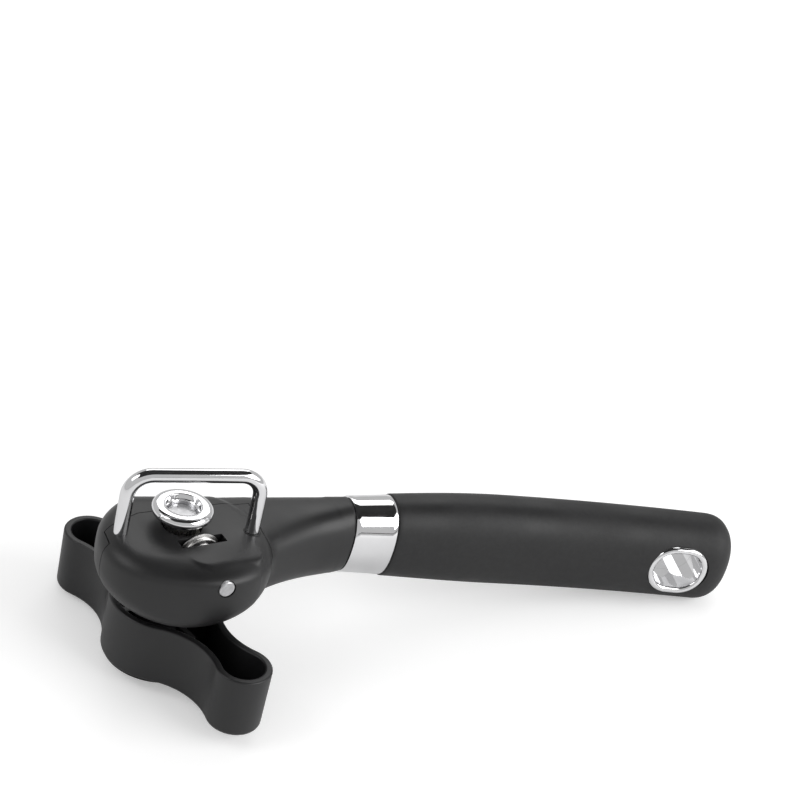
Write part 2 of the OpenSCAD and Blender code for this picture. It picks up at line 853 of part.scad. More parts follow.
// The cavity that the core fills, through the band and the grip
module core_cavity() {
    sweep([
        for (i = [0 : core_steps])
            ring(
                mix(-1, core_end + axial_gap, i / core_steps),
                core_half_w + press_gap, core_half_h + press_gap, core_points
            )
    ]);
}

module chrome_band() {
    color([0.9, 0.9, 0.9])
        difference() {
            sweep([
                for (i = [0 : band_steps])
                    let (s = mix(axial_gap / 2, band_len - axial_gap / 2, i / band_steps))
                    ring(s, section_w(s) - band_inset, section_h(s) - band_inset, 2 * core_points)
            ]);
            core_cavity();
        }
}

// Rings lie closer together where the end rounds off
grip_stations = concat(
    [for (i = [0 : grip_steps - 1]) mix(band_len, handle_len - end_cap, i / grip_steps)],
    [for (i = [0 : end_steps - 1]) handle_len - end_cap * (1 - sin(90 * i / end_steps))],
    [handle_len - 0.02 * end_cap]
);

module grip_sleeve() {
    color([0.13, 0.13, 0.13])
        difference() {
            sweep([
                for (s = grip_stations)
                    ring(s, section_w(s) * end_round(s), section_h(s) * end_round(s))
            ]);
            core_cavity();
            at_eye() eye_prism(eye_wall + press_gap, -eye_through, eye_through);
            at_eye() for (turn = [0, 180])
                rotate([0, 0, turn]) eye_prism(eye_wall + eye_rim + press_gap, eye_seat, eye_through);
        }
}

// ---- Hanging eye ----

eye_s = handle_len - eye_inset;
eye_seat = section_w(eye_s) - 2.4;
eye_face = section_w(eye_s) - 0.2;
eye_through = 2 * grip_half_w;

module at_eye() {
    on_spine(eye_s) children();
}

// A long round-ended block across the handle, from one distance to another
module eye_prism(grow, from, to) {
    translate([0, to, 0]) rotate([90, 0, 0])
        linear_extrude(to - from) {
            for (s = [-1, 1]) translate([s * eye_stretch / 2, 0]) circle(r = eye_r + grow);
            square([eye_stretch, 2 * (eye_r + grow)], center = true);
        }
}

module eye_half() {
    difference() {
        union() {
            eye_prism(eye_wall, press_gap, eye_face);
            eye_prism(eye_wall + eye_rim, eye_seat + press_gap, eye_face);
        }
        eye_prism(0, -1, eye_through);
    }
}

module eye_liner_front() {
    color([0.88, 0.88, 0.88]) at_eye() rotate([0, 0, 180]) eye_half();
}

module eye_liner_back() {
    color([0.88, 0.88, 0.88]) at_eye() eye_half();
}

// ---- Assembly ----

on_table() front_housing();
on_table() rear_housing();
on_table() housing_screws();
on_table() guard_wire();
on_table() cutter_wheel();
on_table() cutter_bush();
on_table() cutter_washer();
on_table() cutter_pin();
on_table() cam_bush();
on_table() cam_washer();
on_table() spindle();
on_table() feed_wheel();
on_table() crown_wheel();
on_table() thrust_washer();
on_table() wave_spring();
on_table() knob_shell();
on_table() hub_insert();
on_table() knob_screw();
on_table() knob_cap();
on_table() handle_core();
on_table() core_screw();
on_table() chrome_band();
on_table() grip_sleeve();
on_table() eye_liner_front();
on_table() eye_liner_back();
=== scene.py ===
"""Manual can opener with a turning knob, dressed over its own working frame.

Every piece is made in the tool's own frame and then laid where the frame lies.
Tool frame: origin on the drive axis at the flat face of the head, +Z out of the
face towards the crown wheel, +X towards the handle, -Y towards the cutter.
All lengths are in metres.
"""

import json
from math import atan2, cos, pi, radians, sin, sqrt, tau

import bmesh
import bpy
from mathutils import Matrix, Vector


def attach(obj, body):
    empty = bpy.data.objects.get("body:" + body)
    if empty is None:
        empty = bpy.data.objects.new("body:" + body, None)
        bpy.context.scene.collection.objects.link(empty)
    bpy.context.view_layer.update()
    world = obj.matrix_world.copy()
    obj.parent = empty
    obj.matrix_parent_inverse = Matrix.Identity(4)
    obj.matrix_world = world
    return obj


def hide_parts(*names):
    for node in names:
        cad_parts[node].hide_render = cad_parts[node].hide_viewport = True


bl_info = {
    "name": "Can Opener",
    "version": (1, 0, 0),
    "blender": (4, 5, 0),
    "location": "3D View > Sidebar > Opener",
    "description": "Makes a manual can opener with a turning knob, piece by piece",
    "category": "Add Mesh",
}

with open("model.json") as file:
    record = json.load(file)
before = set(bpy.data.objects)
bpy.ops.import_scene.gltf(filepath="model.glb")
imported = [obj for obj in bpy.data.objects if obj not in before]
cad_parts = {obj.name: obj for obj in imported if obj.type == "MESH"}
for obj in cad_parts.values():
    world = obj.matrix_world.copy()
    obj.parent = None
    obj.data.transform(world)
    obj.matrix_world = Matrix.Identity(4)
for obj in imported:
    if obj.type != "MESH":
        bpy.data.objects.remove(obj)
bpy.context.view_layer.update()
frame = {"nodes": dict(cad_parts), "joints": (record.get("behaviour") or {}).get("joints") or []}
MM = 0.001
JOINTS = {joint["name"]: joint for joint in frame["joints"]}


def tool_frame():
    """Matrix from the tool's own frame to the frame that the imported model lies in."""
    up = Vector(JOINTS["drive_spin"]["axis"]).normalized()
    back = -Vector(JOINTS["cutter_spin"]["axis"]).normalized()
    turn = Matrix((back.cross(up), back, up)).transposed().to_4x4()
    return Matrix.Translation(JOINTS["drive_spin"]["pos_m"]) @ turn


TOOL = tool_frame()
CUTTER_AXIS = TOOL.inverted() @ Vector(JOINTS["cutter_spin"]["pos_m"])
CAM_AXIS = TOOL.inverted() @ Vector(JOINTS["cam_turn"]["pos_m"])


# ---- Sizes and colours ----


def length(name, description, millimetres):
    """A length that the sidebar shows in scene units."""
    return bpy.props.FloatProperty(
        name=name, description=description, default=millimetres * MM, min=0, precision=5, unit="LENGTH"
    )


def angle(name, description, degrees):
    """An angle that the sidebar shows in degrees."""
    return bpy.props.FloatProperty(
        name=name, description=description, default=radians(degrees), subtype="ANGLE"
    )


def colour(name, description, shade):
    """A colour in scene-linear values."""
    return bpy.props.FloatVectorProperty(
        name=name, description=description, default=shade, min=0, max=1, size=3, subtype="COLOR"
    )


class HeadSizes(bpy.types.PropertyGroup):
    radius: length("Radius", "Radius where the head is widest", 24.2)
    depth: length("Depth", "Depth of the head behind its face", 20.5)
    offset: length("Offset", "From the drive axis to the head's centre", 4.1)
    face_edge: length("Face edge", "Rounding between face and side wall", 5)
    back_edge: length("Back edge", "Rounding between side wall and back", 11)
    wall_bulge: length("Wall bulge", "Radius of the side wall's bulge", 45)
    front_flat: length("Front flat", "How far the wall is drawn in at the cutter", 4)
    fall_reach: length("Fall reach", "Width of the face's broad front rounding", 9.5)
    fall_drop: length("Fall drop", "Depth of the face's broad front rounding", 3.8)
    far_edge: length("Far edge", "Rounding along the far side and the neck", 10.5)
    brow_width: length("Brow width", "Width of the brow above the cutter pin", 21)
    brow_inset: length("Brow inset", "From the head's front back to the brow", 6.6)
    brow_edge: length("Brow edge", "Rounding of the brow's upper edge", 3)
    seam: length("Seam", "Joint between the two housings", 0.22)
    neck_length: length("Neck length", "From the drive axis to the band", 55.1)
    grain: length("Grain", "Mesh size of the moulded surface", 0.42)


class DriveSizes(bpy.types.PropertyGroup):
    spindle_radius: length("Spindle radius", "Radius of the spindle", 3)
    crown_radius: length("Crown radius", "Radius of the crown wheel", 8.55)
    crown_top: length("Crown top", "Height of the crown wheel's top above the face", 6.9)
    crown_gap: length("Crown gap", "Gap between the face and the crown wheel", 1.2)
    feed_radius: length("Feed radius", "Tip radius of the toothed feed wheel", 4.8)
    cam_radius: length("Cam radius", "Radius of the cam bush", 6.2)
    cutter_radius: length("Cutter radius", "Radius of the cutting wheel's edge", 6.3)
    cutter_thickness: length("Cutter thickness", "Thickness of the cutting wheel", 2.6)
    pin_radius: length("Pin radius", "Radius of the cutter pin", 2.3)


class GuardSizes(bpy.types.PropertyGroup):
    wire: length("Wire radius", "Radius of the guard wire", 2)
    height: length("Height", "Height of the wire's middle above the face", 18.1)
    width: length("Width", "Distance between the two legs", 36.8)
    bend: length("Bend", "Radius of the bends at the wire's middle", 6.2)
    angle: angle("Angle", "Turn of the guard about the head", -13.66)


class KnobSizes(bpy.types.PropertyGroup):
    reach: length("Reach", "From the drive axis to a lobe's centre", 34.4)
    lobe: length("Lobe radius", "Radius of a lobe's round end", 8)
    middle: length("Middle radius", "Radius of the knob's middle", 15.8)
    waist: length("Waist radius", "Radius of the hollow beside a lobe", 18.5)
    height: length("Height", "Height of the knob", 18.7)
    wall: length("Wall", "Thickness of the knob's wall", 2.1)
    gap: length("Gap", "Gap between the head and the knob's rim", 3.9)
    draft: length("Draft", "How much narrower the knob is at its foot", 0.2)
    rim_edge: length("Rim edge", "Rounding of the rim's two edges", 0.55)
    foot_edge: length("Foot edge", "Rounding of the knob's lower edge", 1.6)
    cap_radius: length("Cap radius", "Radius of the cap under the knob", 14.8)
    cap_proud: length("Cap height", "How far the cap stands below the knob", 1)
    turn: angle("Turn", "Direction of the near lobe", -78.4)


class HandleSizes(bpy.types.PropertyGroup):
    length: length("Length", "From the band's near edge to the grip's end", 127.5)
    band: length("Band length", "Length of the chrome band", 13.4)
    neck_width: length("Neck half width", "Half width of the neck's end", 8.3)
    neck_height: length("Neck half height", "Half height of the neck's end", 11.4)
    grip_width: length("Grip half width", "Half width of the grip", 10.3)
    grip_height: length("Grip half height", "Half height of the grip", 14)
    eye_radius: length("Eye radius", "Radius of the hanging eye's round ends", 6.2)
    eye_stretch: length("Eye stretch", "Distance between the eye's two round ends", 3.2)
    eye_wall: length("Eye wall", "Wall of the eye's liner", 0.9)
    eye_rim: length("Eye rim", "Width of the rim that lies on the grip", 1.1)
    eye_inset: length("Eye inset", "From the eye to the grip's end", 18.9)


class Finishes(bpy.types.PropertyGroup):
    housing: colour("Housing", "Satin black of the head", (0.0125, 0.0125, 0.013))
    knob: colour("Knob", "Satin black of the knob", (0.0125, 0.0125, 0.0132))
    grip: colour("Grip", "Matte black of the soft grip", (0.015, 0.015, 0.0155))
    chrome: colour("Chrome", "Polished plating", (0.84, 0.84, 0.85))
    cutter: colour("Cutter", "Ground steel of the cutting parts", (0.62, 0.61, 0.60))
    steel: colour("Steel", "Turned steel of pins and washers", (0.60, 0.60, 0.61))
    bronze: colour("Bronze", "Bearing metal of the bushes", (0.46, 0.28, 0.11))
    nylon: colour("Nylon", "Natural nylon of the cam bush", (0.66, 0.64, 0.58))
    core: colour("Core", "Moulded core inside the grip", (0.03, 0.03, 0.032))


GROUPS = {
    "opener_head": HeadSizes,
    "opener_drive": DriveSizes,
    "opener_guard": GuardSizes,
    "opener_knob": KnobSizes,
    "opener_handle": HandleSizes,
    "opener_finishes": Finishes,
}


def settings(group):
    """The sidebar's values of one group."""
    return getattr(bpy.context.scene, "opener_" + group)


# ---- Mesh tools ----

CREASE = radians(30)


def linked(name, data):
    """A new object in the scene."""
    thing = bpy.data.objects.new(name, data)
    bpy.context.scene.collection.objects.link(thing)
    return thing


def stored(bm, name):
    """The mesh as a data block; the working copy goes."""
    mesh = bpy.data.meshes.new(name)
    bm.to_mesh(mesh)
    bm.free()
    return mesh


def arc(centre, radius, start, end, steps):
    """Points from one angle to another on a circle, both ends included. Angles are in radians."""
    turns = [start + (end - start) * i / steps for i in range(steps + 1)]
    return [(centre[0] + radius * cos(a), centre[1] + radius * sin(a)) for a in turns]


def tidied(bm):
    """Merges doubles and turns every face outwards."""
    bmesh.ops.remove_doubles(bm, verts=bm.verts, dist=1e-6)
    bmesh.ops.dissolve_degenerate(bm, edges=bm.edges, dist=1e-6)
    bmesh.ops.recalc_face_normals(bm, faces=bm.faces)
    return bm


def lathe(profile, steps=96, ring=False):
    """Turns a profile of (radius, height) pairs about Z. A ring's profile closes on itself."""
    bm = bmesh.new()
    verts = [bm.verts.new((radius, 0, height)) for radius, height in profile]
    edges = [bm.edges.new(pair) for pair in zip(verts, verts[1:])]
    if ring:
        edges.append(bm.edges.new((verts[-1], verts[0])))
    bmesh.ops.spin(
        bm, geom=verts + edges, cent=(0, 0, 0), axis=(0, 0, 1), angle=tau, steps=steps, use_merge=True
    )
    return tidied(bm)


def prism(outline, rise):
    """Pulls a flat outline of 3-D points along a vector."""
    bm = bmesh.new()
    face = bm.faces.new([bm.verts.new(point) for point in outline])
    pulled = bmesh.ops.extrude_face_region(bm, geom=[face])["geom"]
    verts = [part for part in pulled if isinstance(part, bmesh.types.BMVert)]
    bmesh.ops.translate(bm, vec=rise, verts=verts)
    return tidied(bm)


def block(low, high):
    """A box between two corners."""
    bm = bmesh.new()
    low, high = Vector(low), Vector(high)
    place = Matrix.Translation((low + high) / 2) @ Matrix.Diagonal((*(high - low), 1))
    bmesh.ops.create_cube(bm, size=1, matrix=place)
    return bm


def rod(radius, start, end, steps=64):
    """A round bar between two points."""
    bm = bmesh.new()
    start, end = Vector(start), Vector(end)
    turn = (end - start).to_track_quat("Z", "Y").to_matrix().to_4x4()
    bmesh.ops.create_cone(
        bm, cap_ends=True, segments=steps, radius1=radius, radius2=radius,
        depth=(end - start).length, matrix=Matrix.Translation((start + end) / 2) @ turn,
    )
    return bm


def sweep(rings, closed=False):
    """Runs a ring of points through a list of places. A closed sweep comes back to its first ring."""
    bm = bmesh.new()
    first = [bm.verts.new(point) for point in rings[0]]
    ring = first
    edges = [bm.edges.new(pair) for pair in zip(ring, ring[1:] + ring[:1])]
    first_edges = edges
    for points in rings[1:]:
        new = bmesh.ops.extrude_edge_only(bm, edges=edges)["geom"]
        fresh = {part for part in new if isinstance(part, bmesh.types.BMVert)}
        ring = [next(e.other_vert(v) for e in v.link_edges if e.other_vert(v) in fresh) for v in ring]
        for vert, point in zip(ring, points):
            vert.co = point
        edges = [bm.edges.get(pair) for pair in zip(ring, ring[1:] + ring[:1])]
    if closed:
        bmesh.ops.bridge_loops(bm, edges=edges + first_edges)
    else:
        bm.faces.new(first)
        bm.faces.new(ring)
    return tidied(bm)


def held(bm, name):
    """A temporary object that holds a mesh while modifiers work on it."""
    return linked(name, stored(bm, name))


def released(holder):
    """The mesh of a temporary object after its modifiers; the object goes."""
    bm = bmesh.new()
    bm.from_object(holder, bpy.context.evaluated_depsgraph_get())
    mesh = holder.data
    bpy.data.objects.remove(holder)
    bpy.data.meshes.remove(mesh)
    return bm


def combined(base, other, operation):
    """Two closed meshes joined (UNION), cut (DIFFERENCE) or shared (INTERSECT)."""
    base, other = held(base, "base"), held(other, "other")
    step = base.modifiers.new("combine", "BOOLEAN")
    step.operation = operation
    step.solver = "MANIFOLD"
    step.object = other
    result = released(base)
    released(other).free()
    return result


def cut(base, *others):
    """The first mesh with all the others taken out of it."""
    for other in others:
        base = combined(base, other, "DIFFERENCE")
    return base


def joined(base, *others):
    """The first mesh with all the others added to it."""
    for other in others:
        base = combined(base, other, "UNION")
    return base


def together(base, other):
    """Two loose shells in one mesh, left as they are."""
    loose = stored(other, "loose")
    base.from_mesh(loose)
    bpy.data.meshes.remove(loose)
    return base


def moulded(bm, grain, passes):
    """Turns a mesh into an even skin, whose corners the passes of smoothing round off."""
    holder = held(bm, "skin")
    step = holder.modifiers.new("skin", "REMESH")
    step.mode = "VOXEL"
    step.voxel_size = grain
    bm = released(holder)
    smoothed(bm, list(bm.verts), passes)
    return bm


def smoothed(bm, verts, passes):
    """Relaxes some of a mesh's vertices, several times."""
    for _ in range(passes):
        bmesh.ops.smooth_vert(bm, verts=verts, factor=0.5, use_axis_x=True, use_axis_y=True, use_axis_z=True)


def moved(bm, matrix):
    """The mesh after a move or turn."""
    bmesh.ops.transform(bm, matrix=matrix, verts=bm.verts)
    return bm


def finished(bm, name, body, finish, stands_for):
    """Lays a piece in the frame, gives it its finish and lets it ride on its body."""
    moved(bm, TOOL)
    for face in bm.faces:
        face.smooth = True
    for edge in bm.edges:
        edge.smooth = edge.is_manifold and edge.calc_face_angle() < CREASE
    piece = linked(name, stored(bm, name))
    piece.data.materials.append(bpy.data.materials[finish])
    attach(piece, body)
    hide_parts(*stands_for)


# ---- The handle's line and section ----

HEADING = (-9.5, -22.5)
FALL = (-4.2, -1.5)
BAND_SPOT = Vector((55.1, 0, -12.8)) * MM
OVAL_POWER = 2.25
END_ROUND = 10 * MM
ROUND_POWER = 2.6
PRESS_GAP = 0.02 * MM
CORE_WIDTH, CORE_HEIGHT = 5.4 * MM, 8.4 * MM
CORE_STOP = 2 * MM
SWELL_START, SWELL_LENGTH = -20 * MM, 70 * MM


def mix(start, end, t):
    """From start to end as t goes from 0 to 1."""
    return start + (end - start) * t


def blend(t):
    """Rises smoothly from 0 to 1."""
    t = min(max(t, 0), 1)
    return t * t * (3 - 2 * t)


def power(value, exponent):
    """A power that keeps its value's sign."""
    return (1 if value > 0 else -1) * abs(value) ** exponent


def oval(half_width, half_height, count=72, fullness=OVAL_POWER):
    """A full oval, a little squarer than an ellipse."""
    bend, round_ring = 2 / fullness, arc((0, 0), 1, 0, tau, count)[:-1]
    return [(half_width * power(x, bend), half_height * power(y, bend)) for x, y in round_ring]


def directions(heading, fall):
    """Along, across and above at a heading and a fall in degrees."""
    heading, fall = radians(heading), radians(fall)
    along = Vector((cos(fall) * cos(heading), cos(fall) * sin(heading), sin(fall)))
    across = Vector((-sin(heading), cos(heading), 0))
    return along, across, along.cross(across)


def spine(s, handle):
    """A point on the handle's line: an arc in plan, with a small fall."""
    start, end = radians(HEADING[0]), radians(mix(*HEADING, s / handle.length))
    bend = handle.length / radians(HEADING[0] - HEADING[1])
    fall = radians(FALL[0] * s + (FALL[1] - FALL[0]) * s * s / (2 * handle.length))
    return BAND_SPOT + Vector((bend * (sin(-end) - sin(-start)), -bend * (cos(start) - cos(end)), fall))


def on_spine(s, handle):
    """Matrix of a place on the handle: X along it, Y across it, Z above it."""
    t = s / handle.length
    along, across, above = directions(mix(*HEADING, t), mix(*FALL, t))
    turn = Matrix((along, across, above)).transposed().to_4x4()
    return Matrix.Translation(spine(s, handle)) @ turn


def half_sizes(s, handle):
    """Half width and half height of the handle, from the band to the grip's rounded end."""
    grow = blend((s - SWELL_START) / SWELL_LENGTH)
    left = (handle.length - s) / END_ROUND
    end = 1 if left >= 1 else max(0, 1 - (1 - left) ** ROUND_POWER) ** (1 / ROUND_POWER)
    return (
        mix(handle.neck_width, handle.grip_width, grow) * end,
        mix(handle.neck_height, handle.grip_height, grow) * end,
    )


def handle_ring(s, inset, handle):
    """One ring of the handle's outside, drawn in by an inset."""
    width, height = half_sizes(s, handle)
    place = on_spine(s, handle)
    return [place @ Vector((0, x, y)) for x, y in oval(width - inset, height - inset)]


def core_ring(s, grow, handle):
    """One ring of the core inside the band and the grip."""
    place = on_spine(s, handle)
    return [place @ Vector((0, x, y)) for x, y in oval(CORE_WIDTH + grow, CORE_HEIGHT + grow)]


def core_end(handle):
    """Where the core stops, just short of the hanging eye."""
    eye = handle.eye_radius + handle.eye_stretch / 2 + handle.eye_wall
    return handle.length - handle.eye_inset - eye - CORE_STOP


# ---- Finishes ----


class Finish:
    """A procedural material under construction, with its own short words for nodes."""

    def __init__(self, name, base, metallic=0.0, ior=1.5):
        self.material = bpy.data.materials.new(name)
        self.material.use_nodes = True
        self.material.diffuse_color = (*base, 1)
        self.tree = self.material.node_tree
        self.shader = self.tree.nodes["Principled BSDF"]
        self.shader.inputs["Metallic"].default_value = metallic
        self.shader.inputs["IOR"].default_value = ior
        self.place = self.tree.nodes.new("ShaderNodeTexCoord").outputs["Object"]
        self.base = base

    def node(self, kind, links=(), **values):
        """A node with its properties, and its inputs linked or set."""
        made = self.tree.nodes.new(kind)
        for key, value in values.items():
            setattr(made, key, value)
        for socket, source in dict(links).items():
            if isinstance(source, bpy.types.NodeSocket):
                self.tree.links.new(source, made.inputs[socket])
            else:
                made.inputs[socket].default_value = source
        return made

    def noise(self, size, detail=3.0, stretch=(1, 1, 1), roughness=0.55):
        """Cloudy noise with features of a given size, stretched along some axes."""
        scaled = self.node("ShaderNodeMapping", {"Vector": self.place, "Scale": stretch})
        links = {"Vector": scaled.outputs[0], "Scale": 1 / size, "Detail": detail, "Roughness": roughness}
        return self.node("ShaderNodeTexNoise", links).outputs["Fac"]

    def ranged(self, value, start, end, low=0.3, high=0.7):
        """A value spread from start to end."""
        links = {0: value, 1: low, 2: high, 3: start, 4: end}
        return self.node("ShaderNodeMapRange", links, clamp=True).outputs[0]

    def tones(self, value, dark, light):
        """The base colour between a darker and a lighter tone."""
        links = {
            "Factor": value,
            6: (*[c * dark for c in self.base], 1),
            7: (*[min(1, c * light) for c in self.base], 1),
        }
        mixed = self.node("ShaderNodeMix", links, data_type="RGBA")
        self.tree.links.new(mixed.outputs[2], self.shader.inputs["Base Color"])

    def rough(self, value):
        """The roughness, from a value."""
        self.tree.links.new(value, self.shader.inputs["Roughness"])

    def bumps(self, *layers):
        """Bumps from (height value, depth) pairs, each on top of the one before."""
        normal = None
        for value, depth in layers:
            links = {"Height": value, "Distance": depth, "Strength": 1.0}
            if normal:
                links["Normal"] = normal
            normal = self.node("ShaderNodeBump", links).outputs[0]
        self.tree.links.new(normal, self.shader.inputs["Normal"])


def satin_plastic(name, base, low, high):
    """Spark-eroded black plastic: cloudy tone, fine grain and a few rubbed lines."""
    finish = Finish(name, base, ior=1.5)
    clouds = finish.noise(14 * MM, 2.0)
    grain = finish.noise(0.16 * MM, 2.0)
    finish.tones(finish.ranged(clouds, 0, 1), 0.86, 1.2)
    rubbed = finish.noise(3 * MM, 4.0, (1, 9, 1))
    lines = finish.ranged(rubbed, 0, 1, 0.66, 0.72)
    worn = finish.node("ShaderNodeMath", {0: lines, 1: -0.05}, operation="MULTIPLY").outputs[0]
    dull = finish.ranged(clouds, low, high)
    finish.rough(finish.node("ShaderNodeMath", {0: dull, 1: worn}, operation="ADD").outputs[0])
    finish.bumps((clouds, 0.05 * MM), (grain, 0.004 * MM))


def soft_rubber(name, base):
    """Soft-touch rubber: patchy, dusty and very fine-grained."""
    finish = Finish(name, base, ior=1.47)
    patches = finish.noise(26 * MM, 3.0)
    dust = finish.noise(1.4 * MM, 5.0, roughness=0.7)
    grain = finish.noise(0.2 * MM, 2.0)
    both = finish.node("ShaderNodeMath", {0: patches, 1: dust}, operation="ADD").outputs[0]
    finish.tones(finish.ranged(both, 0, 1, 0.75, 1.3), 0.8, 1.35)
    finish.rough(finish.ranged(patches, 0.44, 0.66))
    finish.bumps((patches, 0.3 * MM), (grain, 0.006 * MM))


def polished_plating(name, base):
    """Bright plating: almost a mirror, with a breath of smudges and a soft ripple."""
    finish = Finish(name, base, metallic=1.0)
    smudge = finish.noise(7 * MM, 4.0)
    ripple = finish.noise(9 * MM, 1.0)
    finish.tones(finish.ranged(smudge, 0, 1), 0.96, 1.02)
    finish.rough(finish.ranged(smudge, 0.035, 0.085))
    finish.bumps((ripple, 0.006 * MM))


def turned_metal(name, base, stretch, low=0.2, high=0.36):
    """Ground or turned metal: hairlines along one direction and a few dull spots."""
    finish = Finish(name, base, metallic=1.0)
    hairs = finish.noise(0.5 * MM, 3.0, stretch)
    spots = finish.noise(1.8 * MM, 4.0)
    finish.tones(finish.ranged(spots, 0, 1), 0.78, 1.08)
    finish.rough(finish.ranged(hairs, low, high))
    finish.bumps((hairs, 0.006 * MM))


def plain_moulding(name, base, low, high):
    """Inner moulded plastic: flow clouds and faint grain."""
    finish = Finish(name, base, ior=1.5)
    clouds = finish.noise(6 * MM, 3.0)
    grain = finish.noise(0.3 * MM, 2.0)
    finish.tones(finish.ranged(clouds, 0, 1), 0.88, 1.08)
    finish.rough(finish.ranged(clouds, low, high))
    finish.bumps((grain, 0.005 * MM))


class OPENER_OT_finishes(bpy.types.Operator):
    """Make the materials of every piece"""

    bl_idname = "opener.make_finishes"
    bl_label = "Finishes"

    def execute(self, context):
        shades = settings("finishes")
        satin_plastic("satin housing", shades.housing, 0.36, 0.46)
        satin_plastic("satin knob", shades.knob, 0.34, 0.44)
        soft_rubber("soft grip", shades.grip)
        polished_plating("bright chrome", shades.chrome)
        turned_metal("ground cutter", shades.cutter, (1, 1, 8))
        turned_metal("turned steel", shades.steel, (6, 1, 1), 0.28, 0.45)
        turned_metal("bush bronze", shades.bronze, (1, 1, 6), 0.3, 0.45)
        plain_moulding("natural nylon", shades.nylon, 0.4, 0.55)
        plain_moulding("core plastic", shades.core, 0.45, 0.6)
        return {"FINISHED"}


# ---- Head ----

CAM_TOP = -3 * MM
WALL_GAP = 0.3 * MM
TONGUE = 2.6 * MM
FRONT_PLAN = [
    (-40, -40), (21, -40), (21.6, -8), (24.5, 5.4), (-9, 7.3), (-20.6, 3.6), (-21.7, -2), (-40, -2)
]
SCREW_SPOTS = [(8.1, -10.5), (-7.1, -10.5), (-7.9, 1)]
SCREW_HEAD = (2.18, 1.14)
PIN_TAIL = 0.4 * MM
PIN_RECESS = 0.1 * MM
FLAT_MIDDLE, FLAT_SPREAD = radians(-112), radians(75)
FALL_MIDDLE, FALL_SPREAD = radians(-95), radians(100)
LIP_EDGE = 2.5 * MM
BACK_GAIN = 1.4  # how fast the back's rounding shrinks as the wall is drawn in
BROW_LEFT_CORNER, BROW_RIGHT_CORNER = 9 * MM, 5 * MM
NECK_START, NECK_TOP = 4 * MM, -0.4 * MM
NECK_REAR, NECK_FRONT, NECK_POWER = 18.2 * MM, 12.9 * MM, 3.6
FLARE, FLARE_END, FLARE_POWER = 9 * MM, 0.8, 1.5
DIP_START = 0.3
MOULD_PASSES, FLARE_PASSES = 4, 60
BEYOND = 80 * MM
UNDER = 60 * MM
BORE_FIT = 0.05 * MM
POCKET_GAP = 0.5 * MM
WASHER_ROOM = 0.6 * MM
RING_GROOVE, RING_DEPTH = 0.22 * MM, 0.8 * MM
GUARD_FOOT = Vector((-17.6, 0.6, 0)) * MM
LEFT_SINK, RIGHT_SINK = 7 * MM, 12 * MM
FAR_TURN = radians(-13.4)
COLLAR = 0.25 * MM


def head_centre(head):
    return Vector((0.5 * MM, -head.offset, 0))


def share(turn, middle, spread):
    """1 at the middle of a stretch of the head's side, falling smoothly to 0 at its ends."""
    away = abs((turn - middle + pi) % tau - pi)
    return blend(1 - away / spread)


def wall_reach(turn, head):
    """Radius of the side wall in a direction about the head's centre."""
    return head.radius - head.front_flat * share(turn, FLAT_MIDDLE, FLAT_SPREAD)


def head_profile(turn, head, edge):
    """The head's section in one direction, face to back; an edge replaces the broad front rounding."""
    flat, wide = share(turn, FLAT_MIDDLE, FLAT_SPREAD), share(turn, FALL_MIDDLE, FALL_SPREAD)
    reach = edge or mix(head.face_edge, head.fall_reach, wide)
    drop = edge or mix(head.face_edge, head.fall_drop, wide)
    back = head.back_edge - BACK_GAIN * head.front_flat * flat
    middle = -(head.depth - back + drop) / 2
    quarter = [radians(a) for a in range(0, 91, 9)]
    spots = [(reach * (1 - sin(a)), -drop * (1 - cos(a))) for a in quarter]
    spots += [(0, mix(-drop, back - head.depth, i / 6)) for i in range(1, 6)]
    spots += [(back * (1 - cos(a)), back * (1 - sin(a)) - head.depth) for a in quarter]
    wall = wall_reach(turn, head) - head.wall_bulge
    return [(wall + sqrt(head.wall_bulge**2 - (z - middle) ** 2) - inset, z) for inset, z in spots]


def drum(head, edge=None):
    """The round head, with a bulging wall, a drawn-in front and rounded edges."""
    turns = [tau * i / 128 for i in range(128)]
    centre, profiles = head_centre(head), [head_profile(turn, head, edge) for turn in turns]
    rings = []
    for level in zip(*profiles):
        rings.append([centre + Vector((r * cos(a), r * sin(a), z)) for a, (r, z) in zip(turns, level)])
    return sweep(rings)


def neck(head, handle):
    """The neck: broad and flared at the head, oval at the band."""
    rings = []
    steps = 36
    for i in range(steps + 1):
        t = i / steps
        _, across, above = directions(HEADING[0] * blend(t), FALL[0] * blend(t))
        rear = mix(NECK_REAR, handle.neck_width, t)
        front = mix(NECK_FRONT, handle.neck_width, t) + FLARE * max(0, 1 - t / FLARE_END) ** FLARE_POWER
        top = mix(NECK_TOP, BAND_SPOT.z + handle.neck_height, t)
        dip = blend((t - DIP_START) / (1 - DIP_START))
        bottom = mix(-head.depth, BAND_SPOT.z - handle.neck_height, dip)
        centre = Vector((mix(NECK_START, head.neck_length, t), 0, (top + bottom) / 2))
        centre += (rear - front) / 2 * across
        section = oval((rear + front) / 2, (top - bottom) / 2, fullness=mix(NECK_POWER, OVAL_POWER, t))
        rings.append([centre + x * across + y * above for x, y in section])
    return sweep(rings)


def edge_prism(distance, radius, head):
    """A long prism along X, whose edge falls away in a quarter circle in front of the head's centre."""
    front = -head.offset - distance
    top = 1 * MM
    curve = arc((front + radius, -radius), radius, pi, pi / 2, 24)
    outline = [(front, -UNDER)] + curve + [(front + radius, top), (BEYOND, top), (BEYOND, -UNDER)]
    return prism([(-UNDER, y, z) for y, z in outline], (2 * BEYOND, 0, 0))


def far_cut(head):
    """What the head and the neck keep under the straight rounded edge of their far side."""
    centre = Matrix.Translation(head_centre(head))
    turn = centre @ Matrix.Rotation(pi + FAR_TURN, 4, "Z") @ centre.inverted()
    slide = Matrix.Translation(Matrix.Rotation(FAR_TURN, 3, "Z") @ Vector((40 * MM, 0, 0)))
    return moved(edge_prism(head.radius, head.far_edge, head), slide @ turn)


